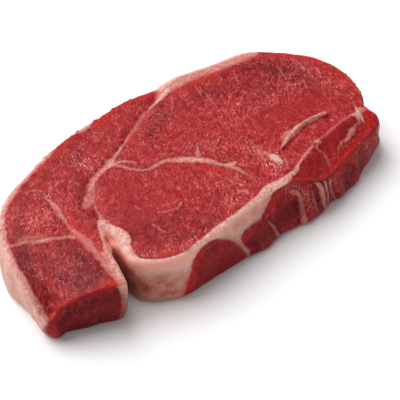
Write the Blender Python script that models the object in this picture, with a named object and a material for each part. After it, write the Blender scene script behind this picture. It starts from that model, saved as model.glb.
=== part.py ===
"""Top sirloin steak, raw and boneless: one thick slice across two muscles, lying flat.

The slice is a loft between two closed outlines. The rim is the edge of the upper cut face, and the foot is
the edge of the face that it lies on. The upper face is filled from its relief: a drooping corner, a ridge
with a strip that falls away beyond it, the seams between the muscles, and one raised strand of gristle.

X runs along the slice, Y across it and Z up. The origin is under the middle of the slice's box.
"""

import math

import bpy
import numpy as np
from mathutils import Vector, kdtree
from mathutils.geometry import delaunay_2d_cdt

MM = 0.001  # the shape is worked out in millimetres and stored in metres

# Driving dimensions, in millimetres
THICKNESS = 30.5
FOOT_ROUNDING = 2.2
WALL_SPACING = 3.6
TOP_SPACING = 3.5
BOTTOM_SPACING = 9.0

# Rows of points down the side: round the rim, down the wall and under the foot
ROUNDING_ROWS = 3
WALL_ROWS = 8
FOOT_ROWS = 2

# Each station is the rim's x and y, the foot's x and y, and the rounding of the rim's edge there.
# The stations run anticlockwise, seen from above, from the low corner of the small muscle.
CUT_END = [
    (-125.0, -20.0, -124.0, -17.0, 1.6),
    (-122.5, -23.5, -121.5, -23.5, 1.8),
    (-115.0, -25.5, -114.5, -24.5, 2.2),
    (-107.0, -30.5, -107.0, -29.5, 2.4),
    (-99.0, -34.5, -99.0, -33.0, 2.4),
    (-92.0, -38.5, -92.5, -37.0, 2.2),
    (-87.5, -41.0, -88.0, -38.0, 1.8),
]
SLIT = [
    (-85.0, -37.5, -84.5, -34.0, 2.0),
    (-76.5, -16.0, -76.5, -16.0, 2.2),
    (-73.5, -10.5, -74.5, -12.0, 1.6),
    (-72.5, -15.5, -73.5, -16.5, 2.6),
    (-75.5, -29.5, -75.3, -29.8, 4.2),
]
FAT_FRONT = [
    (-74.0, -35.5, -74.5, -36.3, 4.4),
    (-69.5, -41.0, -70.2, -42.0, 4.4),
    (-62.0, -46.5, -62.3, -47.7, 4.2),
    (-53.0, -50.0, -54.0, -51.9, 3.8),
    (-32.5, -51.5, -33.3, -54.4, 3.2),
    (-11.5, -52.0, -12.0, -57.6, 3.2),
    (-2.0, -52.5, -1.0, -60.6, 3.2),
    (6.5, -53.0, 6.5, -60.6, 3.2),
    (14.5, -53.5, 15.0, -60.0, 3.0),
]
STRIP = [
    (32.5, -58.0, 33.0, -64.7, 2.6),
    (41.0, -61.0, 42.2, -66.2, 2.4),
    (50.0, -63.0, 52.0, -64.6, 2.4),
    (67.5, -60.5, 70.7, -65.8, 2.4),
    (87.8, -58.9, 92.3, -60.0, 2.4),
    (105.7, -56.1, 111.6, -54.2, 2.2),
    (109.8, -51.3, 116.6, -51.0, 2.0),
    (107.8, -43.1, 118.5, -41.0, 1.8),
]
ROUND_END = [
    (115.7, -35.6, 121.0, -32.0, 2.4),
    (125.2, -17.0, 126.7, -14.5, 2.8),
    (126.0, 4.0, 127.0, 5.5, 2.8),
    (117.1, 22.7, 118.1, 24.2, 2.8),
    (103.5, 40.1, 104.5, 41.6, 2.8),
]
FAR_SIDE = [
    (93.7, 46.5, 94.3, 48.5, 2.8),
    (70.3, 52.5, 71.0, 54.5, 2.8),
    (49.8, 59.4, 49.5, 60.5, 2.8),
    (38.3, 60.4, 38.0, 62.0, 2.8),
    (29.0, 60.5, 29.0, 61.5, 2.6),
    (9.0, 65.3, 9.5, 65.5, 2.8),
    (-14.0, 65.2, -14.5, 65.8, 2.8),
    (-44.0, 64.0, -44.5, 64.8, 2.8),
]
FAT_CAP = [
    (-71.0, 57.2, -71.5, 58.6, 2.8),
    (-92.0, 50.4, -93.2, 50.8, 2.8),
    (-107.0, 36.9, -109.4, 37.1, 2.6),
    (-116.7, 19.0, -119.8, 18.8, 2.2),
    (-122.5, 0.0, -121.0, -1.5, 1.8),
    (-124.5, -10.0, -123.0, -9.5, 1.6),
]

# The small muscle's corner sags where the slice thins out
LOW_CORNER = (-125.0, -21.5)
CORNER_DROOP = 16.5
DROOP_REACH = 13.0

# Beyond this ridge the upper face falls away in a strip, towards the near side
RIDGE = [(106, -43), (89, -43), (67, -44), (47, -46.5), (35, -48), (12, -51)]
STRIP_SLOPE = 0.56
STRIP_EASE = 1.6
STRIP_START = (10, 34)

# Seams between the muscles, with how deep each is sunk and how wide
MAIN_SEAM = [(32, 56), (11, 47), (-17, 37), (-31, 31), (-50, 26), (-59, 15), (-64, 7), (-69, -8)]
CROSS_SEAM = [(-35, 30), (-26, 14), (-20, 11), (-3, 2), (6, -9), (13, -27), (14, -33)]
SMALL_SEAM = [(-78, 35), (-78, 22), (-82, 6), (-81, -8), (-85, -25), (-88, -36)]
SEAMS = [(MAIN_SEAM, 1.1, 2.6), (CROSS_SEAM, 0.5, 2.4), (SMALL_SEAM, 0.6, 2.6)]

# One strand of gristle stands up beside a narrow groove
GRISTLE = [(42, -33), (54, -29.5), (64, -28), (76, -28.5), (84, -32)]
GRISTLE_HEIGHT = 1.2
GRISTLE_WIDTH = 1.5

# Closer rows of points follow each of these, from its right-hand side to its left
SEAM_ROWS = np.array([-1.6, -0.8, 0.0, 0.8, 1.6])
RIDGE_ROWS = np.array([-2.4, 0.0, 2.4])
GRISTLE_ROWS = np.array([-3.0, -2.0, -1.0, 0.0, 1.0, 2.0])

# The muscles are a little crowned: centre, radii along X and Y, and height
CROWNS = [((-15, -18), (60, 30), 0.9), ((70, 12), (55, 38), 0.7), ((-98, 2), (20, 30), 0.8)]

# The side wall swells between its edges. Counted round the slice, it has broad creases with finer ones
# between them, and folds that show only under the strip. Each kind leans by a share of its own length.
WALL_SWELL = 1.2
CREASES, CREASE_DEPTH, CREASE_LEAN = 39, 0.35, 0.3
FINE_CREASES, FINE_CREASE_DEPTH, FINE_CREASE_LEAN = 62, 0.2, 0.6
FOLDS, FOLD_DEPTH, FOLD_LEAN = 58, 0.9, 0.3
FOLD_WANDERS, FOLD_WANDER = 11, 0.2
FOLDED_X = (16.0, 28.0)
FOLDED_Y = (-40.0, -50.0)

# The least room between a point of a face and the face's edge, as a share of the points' spacing
EDGE_CLEARANCE = 0.62

BEEF_COLOUR = (0.42, 0.045, 0.042, 1.0)
BEEF_ROUGHNESS = 0.42


def ease(value, start, end):
    """0 before start, 1 after end, and a smooth step between them."""
    share = np.clip((value - start) / (end - start), 0.0, 1.0)
    return share * share * (3.0 - 2.0 * share)


def smooth_curve(stations, steps, closed=False):
    """A smooth curve through the stations, with this many steps to each span."""
    knots = np.array(stations, float)
    if closed:
        knots = np.vstack([knots[-1:], knots, knots[:2]])
    else:
        knots = np.vstack([2 * knots[0] - knots[1], knots, 2 * knots[-1] - knots[-2]])
    chord = np.hypot(*np.diff(knots[:, :2], axis=0).T)[:, None]
    slope = (knots[2:] - knots[:-2]) / (chord[1:] + chord[:-1])
    start, end, length = knots[1:-2], knots[2:-1], chord[1:-1]
    spans = []
    for share in np.arange(steps) / steps:
        stay = (1 + 2 * share) * (1 - share) ** 2
        leave = share * (1 - share) ** 2 * length * slope[:-1]
        arrive = share**2 * (share - 1) * length * slope[1:]
        spans.append(stay * start + (1 - stay) * end + leave + arrive)
    curve = np.stack(spans, axis=1).reshape(-1, knots.shape[1])
    return np.vstack([curve, knots[1] if closed else knots[-2]])


def even_steps(curve, spacing):
    """The curve read at even steps along its plan, without its last point, and each step's share of it."""
    along = np.concatenate([[0.0], np.cumsum(np.hypot(*np.diff(curve[:, :2], axis=0).T))])
    count = int(round(along[-1] / spacing))
    shares = np.arange(count) / count
    return np.column_stack([np.interp(shares * along[-1], along, column) for column in curve.T]), shares


def outward(loop):
    """Unit directions out of an anticlockwise loop of plan points."""
    step = np.roll(loop, -1, axis=0) - np.roll(loop, 1, axis=0)
    normal = np.column_stack([step[:, 1], -step[:, 0]])
    return normal / np.hypot(*normal.T)[:, None]


def path_distance(plan, path):
    """Each plan point's distance to the path: above 0 to the left of the path's run, below 0 to its right."""
    nearest = np.full(len(plan), np.inf)
    signed = np.zeros(len(plan))
    for start, end in zip(path[:-1], path[1:]):
        run = end - start
        share = np.clip((plan - start) @ run / (run @ run), 0.0, 1.0)
        gap = plan - (start + share[:, None] * run)
        distance = np.hypot(*gap.T)
        closer = distance < nearest
        nearest[closer] = distance[closer]
        side = run[0] * gap[:, 1] - run[1] * gap[:, 0]
        signed[closer] = np.where(side < 0.0, -distance, distance)[closer]
    return signed


RIDGE_CURVE = smooth_curve(RIDGE, 4)
GRISTLE_CURVE = smooth_curve(GRISTLE, 4)
SEAM_CURVES = [(smooth_curve(path, 4), depth, width) for path, depth, width in SEAMS]


def top_height(plan):
    """How high the upper cut face is over each plan point."""
    height = np.full(len(plan), THICKNESS)
    height -= CORNER_DROOP * np.exp(-np.hypot(*(plan - LOW_CORNER).T) / DROOP_REACH)
    beyond_ridge = np.maximum(path_distance(plan, RIDGE_CURVE), 0.0)
    fall = STRIP_SLOPE * (np.hypot(beyond_ridge, STRIP_EASE) - STRIP_EASE)
    height -= fall * ease(plan[:, 0], *STRIP_START)
    for centre, radii, rise in CROWNS:
        height += rise * np.exp(-(((plan - centre) / radii) ** 2).sum(axis=1))
    for curve, depth, width in SEAM_CURVES:
        height -= depth * np.exp(-((path_distance(plan, curve) / width) ** 2))
    side = path_distance(plan, GRISTLE_CURVE) / GRISTLE_WIDTH
    height += GRISTLE_HEIGHT * (np.exp(-(side**2)) - 0.5 * np.exp(-((side + 2.0) ** 2)))
    return height


def waves(turns):
    """1 at the top of each wave and -1 in each trough; a wave is one turn."""
    return np.sin(2 * math.pi * turns)


def wall_relief(shares, rim, level):
    """How far the wall stands out at this level, which is 1 at the rim and 0 at the foot."""
    crease = CREASE_DEPTH * waves(CREASES * shares + CREASE_LEAN * level)
    crease += FINE_CREASE_DEPTH * waves(FINE_CREASES * shares + FINE_CREASE_LEAN * level)
    wander = FOLD_WANDER * waves(FOLD_WANDERS * shares)
    fold = FOLD_DEPTH * waves(FOLDS * shares + wander + FOLD_LEAN * level)
    folded = ease(rim[:, 0], *FOLDED_X) * ease(rim[:, 1], *FOLDED_Y)
    between_edges = 4.0 * level * (1.0 - level)
    return between_edges * (WALL_SWELL + crease + folded * fold)


def side_rows():
    """Rows of points round the slice, from the rim's inner edge down the wall and under the foot."""
    stations = CUT_END + SLIT + FAT_FRONT + STRIP + ROUND_END + FAR_SIDE + FAT_CAP
    curve, shares = even_steps(smooth_curve(stations, 24, closed=True), WALL_SPACING)
    rim, foot, edge = curve[:, :2], curve[:, 2:4], curve[:, 4:]
    out, foot_out = outward(rim), outward(foot)
    inner, under = rim - out * edge, foot - foot_out * FOOT_ROUNDING
    crest = top_height(inner)[:, None]
    rows = []
    for turn in np.linspace(0.0, math.pi / 2, ROUNDING_ROWS, endpoint=False):
        plan = inner + out * edge * math.sin(turn)
        rows.append(np.hstack([plan, crest - edge * (1.0 - math.cos(turn))]))
    for level in np.linspace(1.0, 0.0, WALL_ROWS):
        plan = foot + (rim - foot) * level + out * wall_relief(shares, rim, level)[:, None]
        rows.append(np.hstack([plan, FOOT_ROUNDING + (crest - edge - FOOT_ROUNDING) * level]))
    for turn in np.linspace(0.0, math.pi / 2, FOOT_ROWS + 1)[1:]:
        plan = under + foot_out * FOOT_ROUNDING * math.cos(turn)
        rows.append(np.hstack([plan, np.full_like(crest, FOOT_ROUNDING * (1.0 - math.sin(turn)))]))
    return rows


def rows_along(curve, offsets):
    """Rows of plan points beside a curve, one at each offset; every second row is moved on by half a step."""
    line = even_steps(curve, offsets[1] - offsets[0])[0]
    run = np.gradient(line, axis=0)
    across = np.column_stack([-run[:, 1], run[:, 0]]) / np.hypot(*run.T)[:, None]
    rows = [line + across * offset for offset in offsets]
    rows[1::2] = [0.5 * (row[:-1] + row[1:]) for row in rows[1::2]]
    return np.vstack(rows)


def spread_points(loop, spacing, features=()):
    """Plan points that fill a loop evenly, with closer rows along each feature, clear of the loop itself."""
    low, high = loop.min(axis=0), loop.max(axis=0)
    columns = np.arange(low[0], high[0], spacing)
    lines = np.arange(low[1], high[1], spacing * math.sqrt(0.75))
    points = np.vstack([np.column_stack([columns, np.full_like(columns, y)]) for y in lines])
    points[:, 0] += 0.5 * spacing * (np.repeat(np.arange(len(lines)), len(columns)) % 2)
    for curve, offsets in features:
        apart = np.abs(path_distance(points, curve)) > offsets[-1] + 0.5 * spacing
        points = np.vstack([points[apart], rows_along(curve, offsets)])
    tree = kdtree.KDTree(len(loop))
    for index, (x, y) in enumerate(loop):
        tree.insert((x, y, 0.0), index)
    tree.balance()
    return points[[tree.find((x, y, 0.0))[2] > EDGE_CLEARANCE * spacing for x, y in points]]


def fill(loop, inside):
    """Triangles that fill an anticlockwise loop through the inside points, counted on from the loop's own."""
    flat = [Vector(point) for point in np.vstack([loop, inside])]
    _, _, faces, sources, _, _ = delaunay_2d_cdt(flat, [], [list(range(len(loop)))], 1, 1e-6)
    return [[sources[corner][0] for corner in face] for face in faces]


def steak_mesh():
    """The whole slice as one closed mesh."""
    rows = side_rows()
    count = len(rows[0])
    features = [(curve, width * SEAM_ROWS) for curve, _, width in SEAM_CURVES]
    features += [(RIDGE_CURVE, RIDGE_ROWS), (GRISTLE_CURVE, GRISTLE_WIDTH * GRISTLE_ROWS)]
    top_plan = spread_points(rows[0][:, :2], TOP_SPACING, features)
    bottom_plan = spread_points(rows[-1][:, :2], BOTTOM_SPACING)
    top = np.column_stack([top_plan, top_height(top_plan)])
    bottom = np.column_stack([bottom_plan, np.zeros(len(bottom_plan))])
    points = np.vstack(rows + [top, bottom])
    points[:, :2] -= 0.5 * (points.min(axis=0) + points.max(axis=0))[:2]

    faces = []
    for row in range(len(rows) - 1):
        above, below = row * count, (row + 1) * count
        for column in range(count):
            after = (column + 1) % count
            faces.append([above + column, below + column, below + after, above + after])
    to_top = (len(rows) - 1) * count
    for face in fill(rows[0][:, :2], top_plan):
        faces.append([corner + to_top * (corner >= count) for corner in face])
    to_foot, to_bottom = (len(rows) - 1) * count, (len(rows) - 1) * count + len(top)
    for face in fill(rows[-1][:, :2], bottom_plan):
        faces.append([corner + (to_foot if corner < count else to_bottom) for corner in reversed(face)])

    used = sorted({corner for face in faces for corner in face})
    place = {old: new for new, old in enumerate(used)}
    faces = [[place[corner] for corner in face] for face in faces]
    mesh = bpy.data.meshes.new("steak")
    mesh.from_pydata((points[used] * MM).tolist(), [], faces)
    mesh.shade_smooth()
    return mesh


def beef_material():
    material = bpy.data.materials.new("raw_beef")
    material.use_nodes = True
    shader = material.node_tree.nodes["Principled BSDF"]
    shader.inputs["Base Color"].default_value = BEEF_COLOUR
    shader.inputs["Roughness"].default_value = BEEF_ROUGHNESS
    shader.inputs["Metallic"].default_value = 0.0
    return material


def main():
    for old in list(bpy.data.objects):
        bpy.data.objects.remove(old)
    collection = bpy.data.collections.new("top_sirloin_steak")
    bpy.context.scene.collection.children.link(collection)
    mesh = steak_mesh()
    mesh.materials.append(beef_material())
    collection.objects.link(bpy.data.objects.new("steak", mesh))


main()
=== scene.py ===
# %% [markdown]
# # A raw top sirloin steak
#
# A top sirloin steak is a slice cut straight across a loin. What makes it look real is not its outline
# alone: it is the pattern of lean, fat and seams that runs over the cut face and down the sides. This
# notebook dresses a plain solid of the slice. It rebuilds the same form as a fine mesh, writes the
# pattern onto that mesh as measured distances, and lets one procedural material turn the distances into
# meat.
#
# The first cell loads the plain solid. It stays in place as the frame that everything is measured from.

# %% Load the frame
import math

import bpy
import numpy as np
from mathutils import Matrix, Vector, kdtree, noise
from mathutils.geometry import delaunay_2d_cdt


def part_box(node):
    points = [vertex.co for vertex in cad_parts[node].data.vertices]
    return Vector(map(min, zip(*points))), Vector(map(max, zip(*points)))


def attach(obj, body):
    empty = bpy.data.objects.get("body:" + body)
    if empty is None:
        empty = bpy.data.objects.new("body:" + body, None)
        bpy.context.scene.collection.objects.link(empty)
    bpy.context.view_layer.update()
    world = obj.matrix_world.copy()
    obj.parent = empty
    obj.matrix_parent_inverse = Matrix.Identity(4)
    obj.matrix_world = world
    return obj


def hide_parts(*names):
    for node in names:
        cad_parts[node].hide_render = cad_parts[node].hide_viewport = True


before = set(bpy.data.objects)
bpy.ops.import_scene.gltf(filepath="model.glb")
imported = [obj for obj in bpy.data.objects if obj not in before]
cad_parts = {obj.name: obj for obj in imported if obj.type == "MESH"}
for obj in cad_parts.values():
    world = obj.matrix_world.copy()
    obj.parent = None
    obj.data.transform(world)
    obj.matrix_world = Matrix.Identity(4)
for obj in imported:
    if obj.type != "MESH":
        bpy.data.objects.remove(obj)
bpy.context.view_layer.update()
MM = 0.001
print("nodes:", sorted(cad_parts))

# %% [markdown]
# ## Drawing with stations
#
# Butchers' cuts have no straight lines, so every outline here is a smooth curve through a few stations. A
# station can carry more than a place: its extra columns, such as a half width, are eased along the curve
# in the same way. A cubic through the stations is the simplest curve that keeps to them, and its slopes
# come from the neighbours on either side.

# %% Curves through stations
def smooth_curve(stations, steps, closed=False):
    """A smooth curve through the stations, with this many steps to each span."""
    knots = np.array(stations, float)
    if closed:
        knots = np.vstack([knots[-1:], knots, knots[:2]])
    else:
        knots = np.vstack([2 * knots[0] - knots[1], knots, 2 * knots[-1] - knots[-2]])
    chord = np.hypot(*np.diff(knots[:, :2], axis=0).T)[:, None]
    slope = (knots[2:] - knots[:-2]) / (chord[1:] + chord[:-1])
    start, end, length = knots[1:-2], knots[2:-1], chord[1:-1]
    spans = []
    for share in np.arange(steps) / steps:
        stay = (1 + 2 * share) * (1 - share) ** 2
        leave = share * (1 - share) ** 2 * length * slope[:-1]
        arrive = share**2 * (share - 1) * length * slope[1:]
        spans.append(stay * start + (1 - stay) * end + leave + arrive)
    curve = np.stack(spans, axis=1).reshape(-1, knots.shape[1])
    return np.vstack([curve, knots[1] if closed else knots[-2]])


def even_steps(curve, spacing):
    """The curve read at even steps along its plan, without its last point, and each step's share of it."""
    along = np.concatenate([[0.0], np.cumsum(np.hypot(*np.diff(curve[:, :2], axis=0).T))])
    count = int(round(along[-1] / spacing))
    shares = np.arange(count) / count
    return np.column_stack([np.interp(shares * along[-1], along, column) for column in curve.T]), shares


print("a bend through three stations:", smooth_curve([(0, 0), (10, 4), (20, 0)], 3)[:, 1].round(1))

# %% [markdown]
# ## Measuring to a line
#
# The whole pattern rests on one measure: how far a point is from a drawn line, and on which side of it. A
# band of fat is a half width less that distance, and a patch of fat is the distance inside a closed
# outline. Distances are better than painted masks, because the material can roughen or soften an edge by
# adding a little noise to them.

# %% Distances to lines, bands and patches
DRAWN_STEPS = 5


def nearest_on(places, path):
    """Each place's distance to the path, above 0 on the path's left, and the path's extra columns there."""
    nearest = np.full(len(places), np.inf)
    signed = np.zeros(len(places))
    extras = np.zeros((len(places), path.shape[1] - 2))
    for start, end in zip(path[:-1], path[1:]):
        run = (end - start)[:2]
        share = np.clip((places - start[:2]) @ run / (run @ run), 0.0, 1.0)
        gap = places - (start[:2] + share[:, None] * run)
        distance = np.hypot(*gap.T)
        closer = distance < nearest
        nearest[closer] = distance[closer]
        side = run[0] * gap[:, 1] - run[1] * gap[:, 0]
        signed[closer] = np.where(side < 0.0, -distance, distance)[closer]
        extras[closer] = (start[2:] + share[:, None] * (end - start)[2:])[closer]
    return signed, extras


def band(places, stations):
    """How deep each place lies in a band; a station's third number is the band's half width there."""
    signed, extras = nearest_on(places, smooth_curve(stations, DRAWN_STEPS))
    return extras[:, 0] - np.abs(signed)


def inside(places, outline):
    """Whether each place is inside the outline: a line to its right crosses it an odd number of times."""
    x, y = places.T
    crossings = np.zeros(len(places), int)
    for (start_x, start_y), (end_x, end_y) in zip(outline[:-1], outline[1:]):
        if start_y == end_y:
            continue
        crossing_x = start_x + (y - start_y) * (end_x - start_x) / (end_y - start_y)
        crossings += ((start_y > y) != (end_y > y)) & (x < crossing_x)
    return crossings % 2 == 1


def patch(places, stations):
    """How deep each place lies inside the closed outline through the stations; below 0 outside it."""
    outline = smooth_curve(stations, DRAWN_STEPS, closed=True)
    distance = np.abs(nearest_on(places, outline)[0])
    return np.where(inside(places, outline), distance, -distance)


def deepest(measures):
    """The deepest of several bands and patches at each place."""
    return np.max(measures, axis=0)


SAMPLE_BAND = [(0, 0, 1.5), (9, 0, 1.5)]
print("depth in a 3 mm band, half a millimetre from its middle:", band(np.array([[5, 0.5]]), SAMPLE_BAND))

# %% [markdown]
# ## The outline of the slice
#
# The slice is a loft between two closed outlines: the rim of the upper cut face and the foot of the lower
# one. Each station gives the rim's x and y, the foot's x and y, and how softly the rim's edge is rounded
# there, in millimetres. The stations run anticlockwise, seen from above, from the low corner at the fat
# end.

# %% Rim and foot stations
THICKNESS = 30.5
FOOT_ROUNDING = 2.2
RIM_STEPS = 24

CUT_END = [
    (-125.0, -20.0, -124.0, -17.0, 1.6),
    (-122.5, -23.5, -121.5, -23.5, 1.8),
    (-115.0, -25.5, -114.5, -24.5, 2.2),
    (-107.0, -30.5, -107.0, -29.5, 2.4),
    (-99.0, -34.5, -99.0, -33.0, 2.4),
    (-92.0, -38.5, -92.5, -37.0, 2.2),
    (-87.5, -41.0, -88.0, -38.0, 1.8),
]
SLIT = [
    (-85.0, -37.5, -84.5, -34.0, 2.0),
    (-76.5, -16.0, -76.5, -16.0, 2.2),
    (-73.5, -10.5, -74.5, -12.0, 1.6),
    (-72.5, -15.5, -73.5, -16.5, 2.6),
    (-75.5, -29.5, -75.3, -29.8, 4.2),
]
FAT_FRONT = [
    (-74.0, -35.5, -74.5, -36.3, 4.4),
    (-69.5, -41.0, -70.2, -42.0, 4.4),
    (-62.0, -46.5, -62.3, -47.7, 4.2),
    (-53.0, -50.0, -54.0, -51.9, 3.8),
    (-32.5, -51.5, -33.3, -54.4, 3.2),
    (-11.5, -52.0, -12.0, -57.6, 3.8),
    (-2.0, -52.5, -1.0, -60.6, 4.6),
    (6.5, -53.0, 6.5, -60.6, 4.8),
    (14.5, -53.5, 15.0, -60.0, 4.6),
]
STRIP = [
    (32.5, -58.0, 33.0, -64.7, 3.6),
    (41.0, -61.0, 42.2, -66.2, 2.4),
    (50.0, -63.0, 52.0, -64.6, 2.4),
    (67.5, -60.5, 70.7, -65.8, 2.4),
    (87.8, -58.9, 92.3, -60.0, 2.4),
    (105.7, -56.1, 111.6, -54.2, 2.2),
    (109.8, -51.3, 116.6, -51.0, 2.0),
    (107.8, -43.1, 118.5, -41.0, 1.8),
]
ROUND_END = [
    (115.7, -35.6, 121.0, -32.0, 2.4),
    (125.2, -17.0, 126.7, -14.5, 2.8),
    (126.0, 4.0, 127.0, 5.5, 2.8),
    (117.1, 22.7, 118.1, 24.2, 2.8),
    (103.5, 40.1, 104.5, 41.6, 2.8),
]
FAR_SIDE = [
    (93.7, 46.5, 94.3, 48.5, 2.8),
    (70.3, 52.5, 71.0, 54.5, 2.8),
    (49.8, 59.4, 49.5, 60.5, 2.8),
    (38.3, 60.4, 38.0, 62.0, 2.8),
    (29.0, 60.5, 29.0, 61.5, 2.6),
    (9.0, 65.3, 9.5, 65.5, 2.8),
    (-14.0, 65.2, -14.5, 65.8, 2.8),
    (-44.0, 64.0, -44.5, 64.8, 2.8),
]
FAT_CAP = [
    (-71.0, 57.2, -71.5, 58.6, 2.8),
    (-92.0, 50.4, -93.2, 50.8, 2.8),
    (-107.0, 36.9, -109.4, 37.1, 2.6),
    (-116.7, 19.0, -119.8, 18.8, 2.2),
    (-122.5, 0.0, -121.0, -1.5, 1.8),
    (-124.5, -10.0, -123.0, -9.5, 1.6),
]
RIM_STATIONS = CUT_END + SLIT + FAT_FRONT + STRIP + ROUND_END + FAR_SIDE + FAT_CAP
RIM_PLAN = smooth_curve(RIM_STATIONS, RIM_STEPS, closed=True)[:, :2]
RIM_LENGTH = np.hypot(*np.diff(RIM_PLAN, axis=0).T).sum()
print("length round the rim in mm:", round(float(RIM_LENGTH)))

# %% [markdown]
# ## The upper face
#
# The blade leaves a nearly flat face, but meat doesn't stay flat. The small muscle's corner sags, the
# muscles crown a little, the seams sink where the muscles part, and along the near edge the face falls
# away in a strip beyond a ridge. One strand of gristle stands up beside its own groove. Each is one term
# of a height.

# %% Soft steps and bells
def ease(value, start, end):
    """0 before start, 1 after end, and a smooth step between them."""
    share = np.clip((value - start) / (end - start), 0.0, 1.0)
    return share * share * (3.0 - 2.0 * share)


def bell(value):
    """1 at zero, and nearly nothing from 2 on, on either side."""
    return np.exp(-(value**2))


print("a step and a bell, a quarter of the way along:", ease(0.25, 0.0, 1.0), round(float(bell(0.25)), 2))

# %% The height of the upper face
LOW_CORNER, CORNER_DROOP, DROOP_REACH = (-125.0, -21.5), 16.5, 13.0
RIDGE = [(106, -43), (89, -43), (67, -44), (47, -46.5), (35, -48), (12, -51)]
STRIP_SLOPE, STRIP_EASE, STRIP_START = 0.56, 1.6, (10, 34)
MAIN_SEAM = [(32, 56), (11, 47), (-17, 37), (-31, 31), (-50, 26), (-59, 15), (-64, 7), (-69, -8)]
CROSS_SEAM = [(-35, 30), (-26, 14), (-20, 11), (-3, 2), (6, -9), (13, -27), (14, -33)]
SMALL_SEAM = [(-78, 35), (-78, 22), (-82, 6), (-81, -8), (-85, -25), (-88, -36)]
SEAMS = [(MAIN_SEAM, 1.1, 2.6), (CROSS_SEAM, 0.5, 2.4), (SMALL_SEAM, 0.6, 2.6)]
GRISTLE = [(42, -33), (54, -29.5), (64, -28), (76, -28.5), (84, -32)]
GRISTLE_HEIGHT, GRISTLE_WIDTH = 1.2, 1.5
GRISTLE_GROOVE, GRISTLE_GROOVE_GAP = 0.5, 2.0
CROWNS = [((-15, -18), (60, 30), 0.9), ((70, 12), (55, 38), 0.7), ((-98, 2), (20, 30), 0.8)]

RELIEF_STEPS = 4
RIDGE_CURVE = smooth_curve(RIDGE, RELIEF_STEPS)
GRISTLE_CURVE = smooth_curve(GRISTLE, RELIEF_STEPS)
SEAM_CURVES = [(smooth_curve(path, RELIEF_STEPS), depth, width) for path, depth, width in SEAMS]


def top_height(plan):
    """How high the upper cut face is over each plan point."""
    height = np.full(len(plan), THICKNESS)
    height -= CORNER_DROOP * np.exp(-np.hypot(*(plan - LOW_CORNER).T) / DROOP_REACH)
    beyond_ridge = np.maximum(nearest_on(plan, RIDGE_CURVE)[0], 0.0)
    fall = STRIP_SLOPE * (np.hypot(beyond_ridge, STRIP_EASE) - STRIP_EASE)
    height -= fall * ease(plan[:, 0], *STRIP_START)
    for centre, radii, rise in CROWNS:
        height += rise * np.exp(-(((plan - centre) / radii) ** 2).sum(axis=1))
    for curve, depth, width in SEAM_CURVES:
        height -= depth * bell(nearest_on(plan, curve)[0] / width)
    side = nearest_on(plan, GRISTLE_CURVE)[0] / GRISTLE_WIDTH
    height += GRISTLE_HEIGHT * (bell(side) - GRISTLE_GROOVE * bell(side + GRISTLE_GROOVE_GAP))
    return height


print("height near the low corner and in the middle:", top_height(np.array([[-120, -20], [0, 0]])).round(1))

# %% [markdown]
# ## The side wall
#
# The side is worked out as rows of points round the slice: round the rim's edge, down the wall and under
# the foot. Every row has the same number of points, so joining the rows is a simple grid. Besides its
# place, each point keeps how far it is along the rim and how far below it. Those two numbers are the
# wall's own map: it is the wall peeled off and laid flat, and the wall's fat and lean are drawn on it.
#
# A trimmed wall isn't smooth. It swells half way up and has shallow creases down it, with deeper folds
# under the strip. At the tip of the slit a little tissue, the web, still joins the two walls. Waves and a
# few eased spans make all of these, which keeps the wall one skin.

# %% Which way is out
TURN_SMOOTHING, SMOOTHING_REACH = 2.2, 3


def outward(loop, spacing):
    """Unit directions out of an anticlockwise loop, eased round corners so that inner rows don't cross."""
    step = np.roll(loop, -1, axis=0) - np.roll(loop, 1, axis=0)
    normal = np.column_stack([step[:, 1], -step[:, 0]])
    normal /= np.hypot(*normal.T)[:, None]
    reach = int(SMOOTHING_REACH * TURN_SMOOTHING / spacing)
    moves = range(-reach, reach + 1)
    shares = [math.exp(-0.5 * (move * spacing / TURN_SMOOTHING) ** 2) for move in moves]
    eased = sum(np.roll(normal, move, axis=0) * share for move, share in zip(moves, shares))
    return eased / np.hypot(*eased.T)[:, None]


print("corners are eased over", TURN_SMOOTHING, "mm")

# %% Creases, folds and the web
WALL_SWELL = 1.2
CREASES, CREASE_DEPTH, CREASE_LEAN = 39, 0.35, 0.3
FINE_CREASES, FINE_CREASE_DEPTH, FINE_CREASE_LEAN = 62, 0.2, 0.6
FOLDS, FOLD_DEPTH, FOLD_LEAN = 58, 0.9, 0.3
FOLD_WANDERS, FOLD_WANDER = 11, 0.2
FOLDED_X, FOLDED_Y = (16.0, 28.0), (-40.0, -50.0)
SLIT_TIP = 77.8
WEB_REACH, WEB_START, WEB_SLOPE, WEB_END = 2.4, 0.7, 0.42, (5.5, 11.5)
WEB_TOP, WEB_FOOT = (0.5, 2.4), (10.0, 20.0)


def between(value, rise, fall):
    """Eases from 0 to 1 over the first span, and back to 0 over the second."""
    return ease(value, *rise) * (1.0 - ease(value, *fall))


def waves(turns):
    """1 at the top of each wave and -1 in each trough; a wave is one turn."""
    return np.sin(2 * math.pi * turns)


def wall_relief(shares, rim, level):
    """How far the wall stands out at this level, which is 1 at the rim and 0 at the foot."""
    crease = CREASE_DEPTH * waves(CREASES * shares + CREASE_LEAN * level)
    crease += FINE_CREASE_DEPTH * waves(FINE_CREASES * shares + FINE_CREASE_LEAN * level)
    wander = FOLD_WANDER * waves(FOLD_WANDERS * shares)
    fold = FOLD_DEPTH * waves(FOLDS * shares + wander + FOLD_LEAN * level)
    folded = ease(rim[:, 0], *FOLDED_X) * ease(rim[:, 1], *FOLDED_Y)
    bow = 4.0 * level * (1.0 - level)
    return bow * (WALL_SWELL + crease + folded * fold)


def web(along, drop):
    """How far the tissue that still joins the slit's walls at its tip stands out of them, below the rim."""
    away = np.abs(along - SLIT_TIP)
    reach = np.minimum(WEB_START + WEB_SLOPE * away, WEB_REACH) * (1.0 - ease(away, *WEB_END))
    return reach * between(drop, WEB_TOP, WEB_FOOT)


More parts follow.
